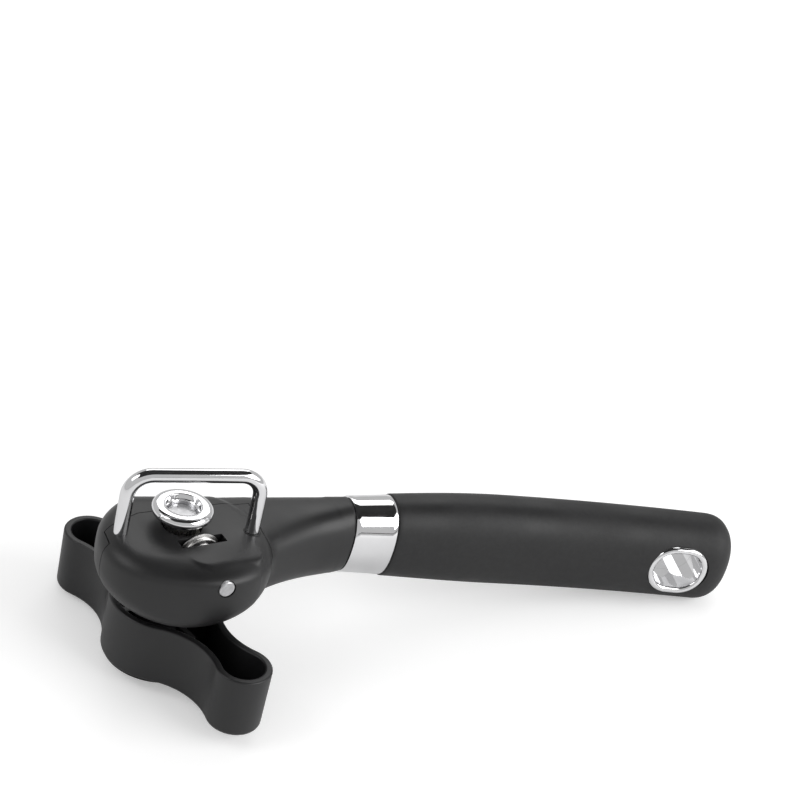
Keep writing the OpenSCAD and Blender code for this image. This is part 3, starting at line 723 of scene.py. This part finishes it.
def brow(head):
    """A low lip that carries the face a little further forward above the cutter pin."""
    left = CUTTER_AXIS.x - head.brow_width / 3
    right, front = left + head.brow_width, -head.offset - head.radius + head.brow_inset
    wide, small = BROW_LEFT_CORNER, BROW_RIGHT_CORNER
    plan = arc((left + wide, front + wide), wide, pi, 1.5 * pi, 16)
    plan += arc((right - small, front + small), small, -pi / 2, 0, 12)
    plan += [(right, head.offset), (left, head.offset)]
    lip = prism([(x, y, -head.depth / 2) for x, y in plan], (0, 0, head.depth))
    lip = combined(drum(head, LIP_EDGE), lip, "INTERSECT")
    return combined(lip, edge_prism(head.radius - head.brow_inset, head.brow_edge, head), "INTERSECT")


def pin_mouth(head):
    """Where the cutter pin's axis leaves the side wall."""
    aside = CUTTER_AXIS.x - head_centre(head).x
    reach = wall_reach(atan2(-head.radius, aside), head)
    return -head.offset - sqrt(reach**2 - aside**2)


def head_block(head, handle):
    """The whole head with its neck, before anything is bored in it."""
    bulk = joined(drum(head), neck(head, handle))
    bulk = combined(bulk, far_cut(head), "INTERSECT")
    skin = moulded(joined(bulk, brow(head)), head.grain, MOULD_PASSES)
    smoothed(skin, [v for v in skin.verts if at_flare(v.co)], FLARE_PASSES)
    return skin


def at_flare(point):
    """True where the neck grows out of the round head, away from the face and the brow."""
    return point.x > 14 * MM and (point.z < -2.5 * MM or point.x > 27 * MM) and point.x < 50 * MM


def grown(outline, by):
    """A flat outline, anticlockwise, with every side moved outwards."""
    spots = [Vector(spot) for spot in outline]
    result = []
    for before, here, after in zip(spots[-1:] + spots[:-1], spots, spots[1:] + spots[:1]):
        first, second = (here - before).normalized(), (after - here).normalized()
        out = Vector((first.y, -first.x)) + Vector((second.y, -second.x))
        result.append(here + by * out / (1 + first.dot(second)))
    return result


def front_part(grow):
    """The room of the front housing: its plan through the whole height."""
    outline = grown([Vector(spot) * MM for spot in FRONT_PLAN], grow)
    return prism([(x, y, -UNDER) for x, y in outline], (0, 0, 70 * MM))


def tongue(grow, head):
    """The rear housing's tongue, which reaches under the front housing."""
    middle = head_centre(head).x
    return block(
        (middle - 10 * MM - grow, -15 * MM - grow, -head.depth - 1 * MM),
        (middle + 10 * MM + grow, 12 * MM, TONGUE - head.depth + grow),
    )


def slot_block(sizes, front):
    """The cutter's slot: from the pocket up through the face."""
    half = sizes.cutter_radius + POCKET_GAP
    back = front_of_bore(sizes)
    return block((CUTTER_AXIS.x - half, front, CUTTER_AXIS.z), (CUTTER_AXIS.x + half, back, 5 * MM))


def front_of_bore(sizes):
    """Where the wall between the cam bore and the cutter's pocket ends."""
    return CUTTER_AXIS.y + sizes.cutter_thickness / 2 + WALL_GAP


def head_bores(head, sizes):
    """What is cut through the head: the cam's bore, the pocket, the slot and the pin's hole."""
    x, z = CUTTER_AXIS.x, CUTTER_AXIS.z
    back, front = front_of_bore(sizes), CUTTER_AXIS.y - sizes.cutter_thickness / 2 - WASHER_ROOM
    outside = (x, -head.offset - head.radius - 5 * MM, z)
    throw = CAM_AXIS.x
    face_hole = Vector((throw / 2, -throw / 2, 0))
    return [
        rod(sizes.cam_radius + BORE_FIT, (throw, 0, -head.depth - 1 * MM), (throw, 0, CAM_TOP + 0.1 * MM)),
        rod(
            sizes.feed_radius + throw + WALL_GAP / 2,
            face_hole + Vector((0, 0, CAM_TOP)), face_hole + Vector((0, 0, 5 * MM)),
        ),
        rod(sizes.cutter_radius + POCKET_GAP, (x, back, z), (x, front, z)),
        slot_block(sizes, front),
        rod(sizes.pin_radius, (x, back + PIN_TAIL, z), outside),
        rod(sizes.pin_radius + RING_GROOVE, (x, pin_mouth(head) + RING_DEPTH, z), outside),
    ]


def guard_place(guard):
    """Matrix of the guard: X along its top bar, Z up its legs, origin at its left foot."""
    return Matrix.Translation(GUARD_FOOT) @ Matrix.Rotation(guard.angle, 4, "Z")


def collar(radius):
    """A low ring that the housing raises round a leg of the guard."""
    curve = arc((radius + COLLAR, -0.1 * MM), COLLAR, 0, pi, 8)
    return lathe([(radius + 2 * COLLAR, -0.6 * MM)] + curve + [(radius, -0.6 * MM)], 48, ring=True)


class OPENER_OT_head(bpy.types.Operator):
    """Make the head's two housings with the neck, the brow, the slot and the seam"""

    bl_idname = "opener.make_head"
    bl_label = "Head"

    def execute(self, context):
        head, sizes = settings("head"), settings("drive")
        guard, handle = settings("guard"), settings("handle")
        whole = cut(head_block(head, handle), *head_bores(head, sizes))
        feet = [guard_place(guard) @ Vector((x, 0, 0)) for x in (0, guard.width)]
        for foot, sink in zip(feet, (LEFT_SINK, RIGHT_SINK)):
            low, high = foot - Vector((0, 0, sink)), foot + Vector((0, 0, 9 * MM))
            whole = cut(whole, rod(guard.wire + PRESS_GAP, low, high, 32))
        radius, depth = SCREW_HEAD
        for x, y in SCREW_SPOTS:
            spot = Vector((x * MM, y * MM, -head.depth))
            low, high = spot - Vector((0, 0, 1 * MM)), spot + Vector((0, 0, depth * MM))
            whole = cut(whole, rod(radius * MM, low, high, 32))
        front = combined(whole.copy(), front_part(0), "INTERSECT")
        front = cut(front, tongue(head.seam, head))
        front = together(front, moved(collar(guard.wire), Matrix.Translation(feet[1])))
        rear = cut(whole, cut(front_part(head.seam), tongue(0, head)))
        finished(front, "head_front", "handle", "satin housing", ["front_housing"])
        finished(rear, "head_rear", "handle", "satin housing", ["rear_housing"])
        return {"FINISHED"}


# ---- Guard, cutter and crown ----


class OPENER_OT_guard(bpy.types.Operator):
    """Make the bent wire that guards the crown wheel"""

    bl_idname = "opener.make_guard"
    bl_label = "Guard"

    def execute(self, context):
        guard = settings("guard")
        low, high = guard.height - guard.bend, guard.width - guard.bend
        left = arc((guard.bend, low), guard.bend, pi, pi / 2, 16)
        right = arc((high, low), guard.bend, pi / 2, 0, 16)
        path = [(0, -LEFT_SINK), (0, 0), (0, low / 2)] + left + [(guard.width / 2, guard.height)] + right
        path += [(guard.width, low / 2), (guard.width, 0), (guard.width, -RIGHT_SINK)]
        spots = [Vector((x, 0, z)) for x, z in path]
        across, section = Vector((0, 1, 0)), arc((0, 0), guard.wire, 0, tau, 40)[:-1]
        rings = []
        for i, spot in enumerate(spots):
            before, after = spots[max(i - 1, 0)], spots[min(i + 1, len(spots) - 1)]
            out = (after - before).normalized().cross(across)
            rings.append([spot + x * across + z * out for x, z in section])
        wire = moved(sweep(rings), guard_place(guard))
        finished(wire, "guard_bail", "handle", "bright chrome", ["guard_wire"])
        return {"FINISHED"}


BUSH_WALL = 0.9 * MM


def on_cutter_axis():
    """Matrix of the cutter: Z out along its pin, away from the drive."""
    return Matrix.Translation(CUTTER_AXIS) @ Matrix.Rotation(pi / 2, 4, "X")


class OPENER_OT_cutter(bpy.types.Operator):
    """Make the grooved cutting wheel and the pin that carries it"""

    bl_idname = "opener.make_cutter"
    bl_label = "Cutter"

    def execute(self, context):
        head, sizes = settings("head"), settings("drive")
        edge, half = sizes.cutter_radius, sizes.cutter_thickness / 2
        bore = sizes.pin_radius + BUSH_WALL
        groove = arc((edge - 0.75 * MM, 0.15 * half), 0.32 * half, -0.6 * pi, -1.4 * pi, 8)
        profile = [
            (bore, -half), (edge - 1.5 * MM, -half), (edge - 0.12 * MM, -0.62 * half), (edge, -0.5 * half),
            (edge - 0.08 * MM, -0.4 * half), (edge - 0.75 * MM, -0.18 * half), *groove,
            (edge - 0.7 * MM, 0.48 * half), (edge - 0.62 * MM, 0.62 * half), (edge - 0.85 * MM, 0.8 * half),
            (edge - 2.1 * MM, 0.86 * half), (edge - 2.3 * MM, half), (bore, half),
        ]
        wheel = moved(lathe(profile, 128, ring=True), on_cutter_axis())
        finished(wheel, "cutting_wheel", "cutter", "ground cutter", ["cutter_wheel"])

        tail = front_of_bore(sizes) + PIN_TAIL - CUTTER_AXIS.y
        radius, chamfer = sizes.pin_radius - PRESS_GAP, 0.2 * MM
        tip = CUTTER_AXIS.y - pin_mouth(head) - PIN_RECESS
        profile = [(0, -tail), (radius, -tail), (radius, tip - chamfer), (radius - chamfer, tip), (0, tip)]
        pin = moved(lathe(profile, 64), on_cutter_axis())
        finished(pin, "cutter_pivot", "handle", "turned steel", ["cutter_pin"])
        return {"FINISHED"}


SPINDLE_HEAD = 0.9 * MM
SQUARE = 4.4 * MM
HUB_BELOW = 2.2 * MM
CROWN_LOW = 0.5 * MM
CROWN_ROLL = 1.7 * MM
CROWN_DISH = 2.6 * MM
CROWN_HUB = 0.56
SCREW_HOLE, SCREW_HOLE_DEPTH = 1.52 * MM, 7 * MM


class OPENER_OT_crown(bpy.types.Operator):
    """Make the polished crown wheel and the spindle with its riveted head"""

    bl_idname = "opener.make_crown"
    bl_label = "Crown"

    def execute(self, context):
        head, knob, sizes = settings("head"), settings("knob"), settings("drive")
        radius, gap, roll = sizes.crown_radius, sizes.crown_gap, CROWN_ROLL
        top = sizes.crown_top - CROWN_LOW
        mid, floor, hub = top - roll, top - CROWN_DISH, CROWN_HUB * radius
        recess, bore = 0.49 * radius, sizes.spindle_radius + PRESS_GAP
        outer = arc((radius - roll, mid), roll, -0.42 * pi, 0.5 * pi, 28)
        lip = arc((0.64 * radius, top - 0.45 * MM), 0.45 * MM, 0.5 * pi, 0.95 * pi, 8)
        profile = [
            (bore, gap), (hub, gap), (hub, mid - roll), *outer, *lip,
            (0.545 * radius, top - 1.25 * MM), (recess + 0.12 * MM, top - 1.5 * MM), (recess, top - 1.7 * MM),
            (recess, floor - SPINDLE_HEAD), (bore, floor - SPINDLE_HEAD),
        ]
        crown = lathe(profile, 128, ring=True)
        finished(crown, "crown_disc", "drive", "bright chrome", ["crown_wheel"])

        shaft, rivet = sizes.spindle_radius, recess - PRESS_GAP
        hub_top = -head.depth - HUB_BELOW
        foot = knob_floor(head, knob) + 2 * MM
        profile = [
            (0, hub_top), (shaft, hub_top), (shaft, floor - SPINDLE_HEAD), (rivet, floor - SPINDLE_HEAD),
            (rivet, floor - 0.3 * MM), (rivet - 0.3 * MM, floor), (0.4 * rivet, floor + 0.06 * MM),
            (0, floor + 0.1 * MM),
        ]
        square = block((-SQUARE / 2, -SQUARE / 2, foot), (SQUARE / 2, SQUARE / 2, hub_top + 0.5 * MM))
        spindle = joined(lathe(profile, 96), square)
        hole = rod(SCREW_HOLE, (0, 0, foot - 1 * MM), (0, 0, foot + SCREW_HOLE_DEPTH), 32)
        finished(cut(spindle, hole), "drive_spindle", "drive", "turned steel", ["spindle"])
        return {"FINISHED"}


class OPENER_OT_spring(bpy.types.Operator):
    """Make the waved spring washer between the head and the knob"""

    bl_idname = "opener.make_spring"
    bl_label = "Spring"

    def execute(self, context):
        head, sizes = settings("head"), settings("drive")
        top = -head.depth - WALL_GAP - 0.62 * MM
        bottom = -head.depth - HUB_BELOW + 0.1 * MM
        inner, outer, half = sizes.spindle_radius + 0.4 * MM, sizes.spindle_radius + 2.6 * MM, 0.17 * MM
        swing = (top - bottom) / 2 - half
        spring = lathe([(inner, -half), (outer, -half), (outer, half), (inner, half)], 120, ring=True)
        for vert in spring.verts:
            vert.co.z += (top + bottom) / 2 + swing * sin(3 * atan2(vert.co.y, vert.co.x))
        finished(spring, "spring_washer", "drive", "turned steel", ["wave_spring"])
        return {"FINISHED"}


# ---- Knob ----

CAP_DEPTH = 1.4 * MM
SPIGOT = 9 * MM
KNOB_SCREW_HEAD = 1.6 * MM
HUB = 7.6 * MM
INSERT = 5 * MM
SCREW_SEAT, SCREW_SHANK = 3.42 * MM, 1.7 * MM
RIBS, RIB_HALF = 6, 0.8 * MM


def rim_height(head, knob):
    return -head.depth - knob.gap


def knob_base(head, knob):
    return rim_height(head, knob) - knob.height


def knob_floor(head, knob):
    """Where the hub's bore stops above the screw's seat."""
    return knob_base(head, knob) + CAP_DEPTH + KNOB_SCREW_HEAD + knob.wall


def knob_outline(knob, inset):
    """Plan of the knob, drawn in by an inset: its lobes, waists and middle are arcs about fixed centres."""
    to_middle, to_lobe = knob.middle + knob.waist, knob.lobe + knob.waist
    x = (to_middle**2 - to_lobe**2 + knob.reach**2) / (2 * knob.reach)
    y = sqrt(to_middle**2 - x**2)
    lobe_turn, middle_turn = atan2(y, x - knob.reach), atan2(y, x)
    waist = knob.waist + inset
    half = arc((knob.reach, 0), knob.lobe - inset, -lobe_turn, lobe_turn, 28)[:-1]
    half += arc((x, y), waist, lobe_turn - pi, middle_turn - pi, 14)[:-1]
    half += arc((0, 0), knob.middle - inset, middle_turn, pi - middle_turn, 20)[:-1]
    half += arc((-x, y), waist, -middle_turn, -lobe_turn, 14)[:-1]
    return half + [(-x, -y) for x, y in half]


def knob_section(head, knob):
    """The wall's section as (inset, height) pairs, from the inner floor over the rim to the foot."""
    rim, base = rim_height(head, knob), knob_base(head, knob)
    edge, foot, wall = knob.rim_edge, knob.foot_edge, knob.wall
    inner = arc((wall - edge, rim - edge), edge, 0, pi / 2, 6)
    outer = arc((edge, rim - edge), edge, pi / 2, pi, 6)
    lower = arc((knob.draft + foot, base + foot), foot, pi, 1.5 * pi, 8)
    floor = arc((wall + 0.8 * MM, base + wall + 0.8 * MM), 0.8 * MM, -pi / 2, -pi, 5)
    return floor + [(wall, base + knob.height / 2)] + inner + outer + lower


class OPENER_OT_knob(bpy.types.Operator):
    """Make the hollow two-lobed knob and the cap under it"""

    bl_idname = "opener.make_knob"
    bl_label = "Knob"

    def execute(self, context):
        head, knob = settings("head"), settings("knob")
        base, hub_top = knob_base(head, knob), -head.depth - HUB_BELOW
        rings = [[(x, y, z) for x, y in knob_outline(knob, inset)] for inset, z in knob_section(head, knob)]
        shell = sweep(rings)
        shell = joined(shell, rod(HUB, (0, 0, base + 1 * MM), (0, 0, hub_top), 96))
        reach = knob.middle - knob.wall + 0.4 * MM
        low, high = (HUB - 1 * MM, -RIB_HALF, base + 1 * MM), (reach, RIB_HALF, base + knob.height - 5 * MM)
        for i in range(RIBS):
            shell = joined(shell, moved(block(low, high), Matrix.Rotation(i * tau / RIBS, 4, "Z")))
        spigot, screw_top = SPIGOT + PRESS_GAP, base + CAP_DEPTH + KNOB_SCREW_HEAD
        floor, insert = knob_floor(head, knob), INSERT + PRESS_GAP
        bore = [
            (0, base - 2 * MM), (spigot, base - 2 * MM), (spigot, base + CAP_DEPTH),
            (SCREW_SEAT, base + CAP_DEPTH), (SCREW_SEAT, screw_top), (SCREW_SHANK, screw_top),
            (SCREW_SHANK, floor), (insert, floor), (insert, hub_top + 2 * MM), (0, hub_top + 2 * MM),
        ]
        shell = moved(cut(shell, lathe(bore, 64)), Matrix.Rotation(knob.turn, 4, "Z"))
        finished(shell, "turning_knob", "drive", "satin knob", ["knob_shell"])

        radius, foot = knob.cap_radius, base - knob.cap_proud
        domed = [(radius * i / 16, foot + 0.8 * knob.cap_proud * (i / 16) ** 6) for i in range(17)]
        profile = domed + [
            (radius, base - PRESS_GAP), (SPIGOT, base - PRESS_GAP),
            (SPIGOT, base + CAP_DEPTH - PRESS_GAP), (0, base + CAP_DEPTH - PRESS_GAP),
        ]
        finished(lathe(profile, 128), "knob_button", "drive", "satin knob", ["knob_cap"])
        return {"FINISHED"}


# ---- Handle ----

EYE_SEAT = 2.4 * MM


class OPENER_OT_band(bpy.types.Operator):
    """Make the polished band between the neck and the grip"""

    bl_idname = "opener.make_band"
    bl_label = "Band"

    def execute(self, context):
        handle = settings("handle")
        start, end, edge, inset = 0.05 * MM, handle.band - 0.05 * MM, 0.3 * MM, 0.25 * MM
        outer = [(start, inset + edge), (start + 0.3 * edge, inset + 0.3 * edge)]
        outer += [(mix(start + edge, end - edge, i / 10), inset) for i in range(11)]
        outer += [(end - 0.3 * edge, inset + 0.3 * edge), (end, inset + edge)]
        rings = [handle_ring(s, inset, handle) for s, inset in outer]
        rings += [core_ring(mix(end, start, i / 6), PRESS_GAP, handle) for i in range(7)]
        band = sweep(rings, closed=True)
        finished(band, "polished_band", "handle", "bright chrome", ["chrome_band"])
        return {"FINISHED"}


def eye_outline(grow, handle):
    """The hanging eye: two half circles joined by straight sides, as (along, above) pairs."""
    half, radius = handle.eye_stretch / 2, handle.eye_radius + grow
    return arc((half, 0), radius, -pi / 2, pi / 2, 32) + arc((-half, 0), radius, pi / 2, 1.5 * pi, 32)


def eye_bore(grow, start, end, handle):
    """A round-ended block across the handle at the eye."""
    points = [(x, start, z) for x, z in eye_outline(grow, handle)]
    return moved(prism(points, (0, end - start, 0)), on_spine(handle.length - handle.eye_inset, handle))


def grip_stations(handle):
    """Places along the grip as (distance, inset) pairs: a rounded start, an even run and a rounded end."""
    edge = 0.5 * MM
    start = [
        (handle.band + edge * (1 - cos(radians(a))), edge * (1 - sin(radians(a)))) for a in (0, 30, 60, 90)
    ]
    count = 90
    run = [(mix(handle.band + edge, handle.length - END_ROUND, i / count), 0) for i in range(1, count)]
    end = [(handle.length - END_ROUND * (1 - sin(radians(a))), 0) for a in range(0, 88, 4)]
    return start + run + end


class OPENER_OT_grip(bpy.types.Operator):
    """Make the soft grip with its rounded end and the hole for the hanging eye"""

    bl_idname = "opener.make_grip"
    bl_label = "Grip"

    def execute(self, context):
        handle = settings("handle")
        inside = [core_ring(mix(core_end(handle), handle.band, i / 24), PRESS_GAP, handle) for i in range(25)]
        outside = [handle_ring(s, inset, handle) for s, inset in grip_stations(handle)]
        grip = sweep(inside + outside)
        through = 2 * handle.grip_width
        seat = half_sizes(handle.length - handle.eye_inset, handle)[0] - EYE_SEAT
        bore = handle.eye_wall + PRESS_GAP
        rim = bore + handle.eye_rim
        spans = [(bore, -through, through), (rim, seat, through), (rim, -through, -seat)]
        grip = cut(grip, *[eye_bore(*span, handle) for span in spans])
        finished(grip, "soft_grip", "handle", "soft grip", ["grip_sleeve"])
        return {"FINISHED"}


def eye_liner(handle):
    """One half of the eye's liner: a tube with a rounded rim that lies in the grip."""
    width = half_sizes(handle.length - handle.eye_inset, handle)[0]
    seat, face, edge = width - EYE_SEAT + PRESS_GAP, width - 0.05 * MM, handle.eye_wall + handle.eye_rim
    x, rise = 0.55 * edge, 0.45 * edge
    y = face - rise
    section = [(0, PRESS_GAP), (0, seat), (0, y)]
    section += [(x - x * cos(a), y + rise * sin(a)) for a in (0.3, 0.7, 1.1, pi / 2)]
    section += [(x + rise * sin(a), y + rise * cos(a)) for a in (0.5, 1.0, 1.4)]
    section += [(edge, seat), (handle.eye_wall, seat), (handle.eye_wall, PRESS_GAP)]
    rings = [[(x, y, z) for x, z in eye_outline(grow, handle)] for grow, y in section]
    return sweep(rings, closed=True)


class OPENER_OT_eye(bpy.types.Operator):
    """Make the two bright halves that line the hanging eye"""

    bl_idname = "opener.make_eye"
    bl_label = "Hanging eye"

    def execute(self, context):
        handle = settings("handle")
        place = on_spine(handle.length - handle.eye_inset, handle)
        for side, turn in {"front": pi, "back": 0}.items():
            liner = moved(eye_liner(handle), place @ Matrix.Rotation(turn, 4, "Z"))
            name, node = "eye_ring_" + side, "eye_liner_" + side
            finished(liner, name, "handle", "bright chrome", [node])
        return {"FINISHED"}


class OPENER_OT_inner_pieces(bpy.types.Operator):
    """Give the working pieces inside the opener their finishes"""

    bl_idname = "opener.finish_inner_pieces"
    bl_label = "Inner pieces"

    def execute(self, context):
        washers = ["cutter_washer", "cam_washer", "thrust_washer"]
        kept = {
            "turned steel": ["housing_screws", *washers, "knob_screw", "core_screw"],
            "ground cutter": ["feed_wheel"],
            "bush bronze": ["cutter_bush", "hub_insert"],
            "natural nylon": ["cam_bush"],
            "core plastic": ["handle_core"],
        }
        for finish, nodes in kept.items():
            for node in nodes:
                materials = frame["nodes"][node].data.materials
                materials.clear()
                materials.append(bpy.data.materials[finish])
        return {"FINISHED"}


# ---- Stage ----

CAMERA_PLACE = Vector((-254.07, -391.73, 310.61)) * MM
CAMERA_LOOK = Vector((0.5517, 0.6794, -0.4838))
CAMERA_ROLL = radians(-14.23)
CAMERA_LENS = 92.2


def staged(name, mesh, material):
    """A sheet of the stage, which isn't part of the opener."""
    thing = linked(name, mesh)
    mesh.materials.append(material)
    return thing


def sheet_mesh(name, width, depth):
    """A flat rectangle of a given size."""
    bm = bmesh.new()
    bmesh.ops.create_grid(bm, x_segments=1, y_segments=1, size=0.5)
    bmesh.ops.scale(bm, vec=(width, depth, 1), verts=bm.verts)
    return stored(bm, name)


def by_ray(tree, socket, camera, others):
    """Gives a strength one value for the camera and another for all other rays."""
    path = tree.nodes.new("ShaderNodeLightPath")
    strength = tree.nodes.new("ShaderNodeMapRange")
    strength.inputs[3].default_value = others
    strength.inputs[4].default_value = camera
    tree.links.new(path.outputs["Is Camera Ray"], strength.inputs[0])
    tree.links.new(strength.outputs[0], socket)


def plain_material(name, shade, glow):
    """A matte surface with a little light of its own that only the camera sees."""
    material = bpy.data.materials.new(name)
    material.use_nodes = True
    shader = material.node_tree.nodes["Principled BSDF"]
    shader.inputs["Base Color"].default_value = (shade, shade, shade, 1)
    shader.inputs["Roughness"].default_value = 0.9
    shader.inputs["Emission Color"].default_value = (1, 1, 1, 1)
    by_ray(material.node_tree, shader.inputs["Emission Strength"], glow, 0)
    return material


def white_room(fill):
    """World: white to the camera, and a plain fill light for everything else."""
    world = bpy.data.worlds.new("white room")
    world.use_nodes = True
    back = world.node_tree.nodes["Background"]
    back.inputs["Color"].default_value = (1, 1, 1, 1)
    by_ray(world.node_tree, back.inputs["Strength"], 1, fill)
    bpy.context.scene.world = world


def toward(azimuth, elevation):
    """The direction at an azimuth and an elevation in degrees; azimuth 0 is the cutter's side."""
    a, e = radians(azimuth), radians(elevation)
    return Vector((sin(a) * cos(e), -cos(a) * cos(e), sin(e)))


def aimed(thing, place, turn):
    """Puts something in its place, turned by a quaternion."""
    thing.location = place
    thing.rotation_mode = "QUATERNION"
    thing.rotation_quaternion = turn


def dark_card(name, width, depth, place, turn):
    """A dark sheet that only shows in reflections."""
    card = staged(name, sheet_mesh(name, width, depth), plain_material(name, 0.02, 0))
    aimed(card, place, turn)
    card.visible_camera = False
    card.visible_diffuse = False
    card.visible_shadow = False


def softbox(name, azimuth, elevation, distance, size, power_watts):
    """A square lamp that looks at the opener from a direction in degrees."""
    lamp = bpy.data.lights.new(name, "AREA")
    lamp.shape = "RECTANGLE"
    lamp.size, lamp.size_y = size
    lamp.energy = power_watts
    way = toward(azimuth, elevation)
    aimed(linked(name, lamp), way * distance, way.to_track_quat("Z", "Y"))


class OPENER_OT_stage(bpy.types.Operator):
    """Set the pale floor, the soft light and the camera"""

    bl_idname = "opener.set_stage"
    bl_label = "Stage"

    def execute(self, context):
        scene = context.scene
        scene.view_settings.view_transform = "Standard"
        staged("floor", sheet_mesh("floor", 6, 6), plain_material("pale floor", 0.82, 0.34))
        white_room(0.54)
        softbox("front softbox", 52, 32, 1.1, (0.9, 0.7), 7.5)
        softbox("rear softbox", 160, 40, 1.4, (1.0, 0.6), 3.4)
        softbox("left softbox", -95, 45, 1.3, (0.6, 0.6), 2.5)
        dark_card("dark ceiling", 2.0, 2.0, (0.1, 0.1, 1.15), (1, 0, 0, 0))
        line = toward(29, 5)
        dark_card("dark strip", 0.9, 0.035, 1.2 * line, line.to_track_quat("Z", "Y"))

        camera = linked("camera", bpy.data.cameras.new("camera"))
        camera.data.lens = CAMERA_LENS
        camera.data.clip_start, camera.data.clip_end = 0.01, 20
        look = CAMERA_LOOK.normalized()
        right = look.cross(Vector((0, 0, 1))).normalized()
        up = right.cross(look)
        rolled = Matrix.Rotation(CAMERA_ROLL, 3, look)
        turn = Matrix((rolled @ right, rolled @ up, -look)).transposed().to_4x4()
        camera.matrix_world = TOOL @ Matrix.Translation(CAMERA_PLACE) @ turn
        scene.camera = camera
        return {"FINISHED"}


# ---- Panel and registration ----

OPERATORS = [
    OPENER_OT_finishes,
    OPENER_OT_head,
    OPENER_OT_guard,
    OPENER_OT_cutter,
    OPENER_OT_crown,
    OPENER_OT_spring,
    OPENER_OT_knob,
    OPENER_OT_band,
    OPENER_OT_grip,
    OPENER_OT_eye,
    OPENER_OT_inner_pieces,
    OPENER_OT_stage,
]


class OPENER_PT_panel(bpy.types.Panel):
    """Sizes, finishes and the steps that make the opener"""

    bl_label = "Can Opener"
    bl_space_type = "VIEW_3D"
    bl_region_type = "UI"
    bl_category = "Opener"

    def draw(self, context):
        for group, kind in GROUPS.items():
            box = self.layout.box()
            box.label(text=group.split("_")[1].title())
            for key in kind.__annotations__:
                box.prop(getattr(context.scene, group), key)
        for operator in OPERATORS:
            self.layout.operator(operator.bl_idname)


def register():
    for kind in [*GROUPS.values(), *OPERATORS, OPENER_PT_panel]:
        bpy.utils.register_class(kind)
    for group, kind in GROUPS.items():
        setattr(bpy.types.Scene, group, bpy.props.PointerProperty(type=kind))


def unregister():
    for group in GROUPS:
        delattr(bpy.types.Scene, group)
    for kind in reversed([*GROUPS.values(), *OPERATORS, OPENER_PT_panel]):
        bpy.utils.unregister_class(kind)


def main():
    register()
    for operator in OPERATORS:
        getattr(bpy.ops.opener, operator.bl_idname.split(".")[1])()


if __name__ == "__main__":
    main()
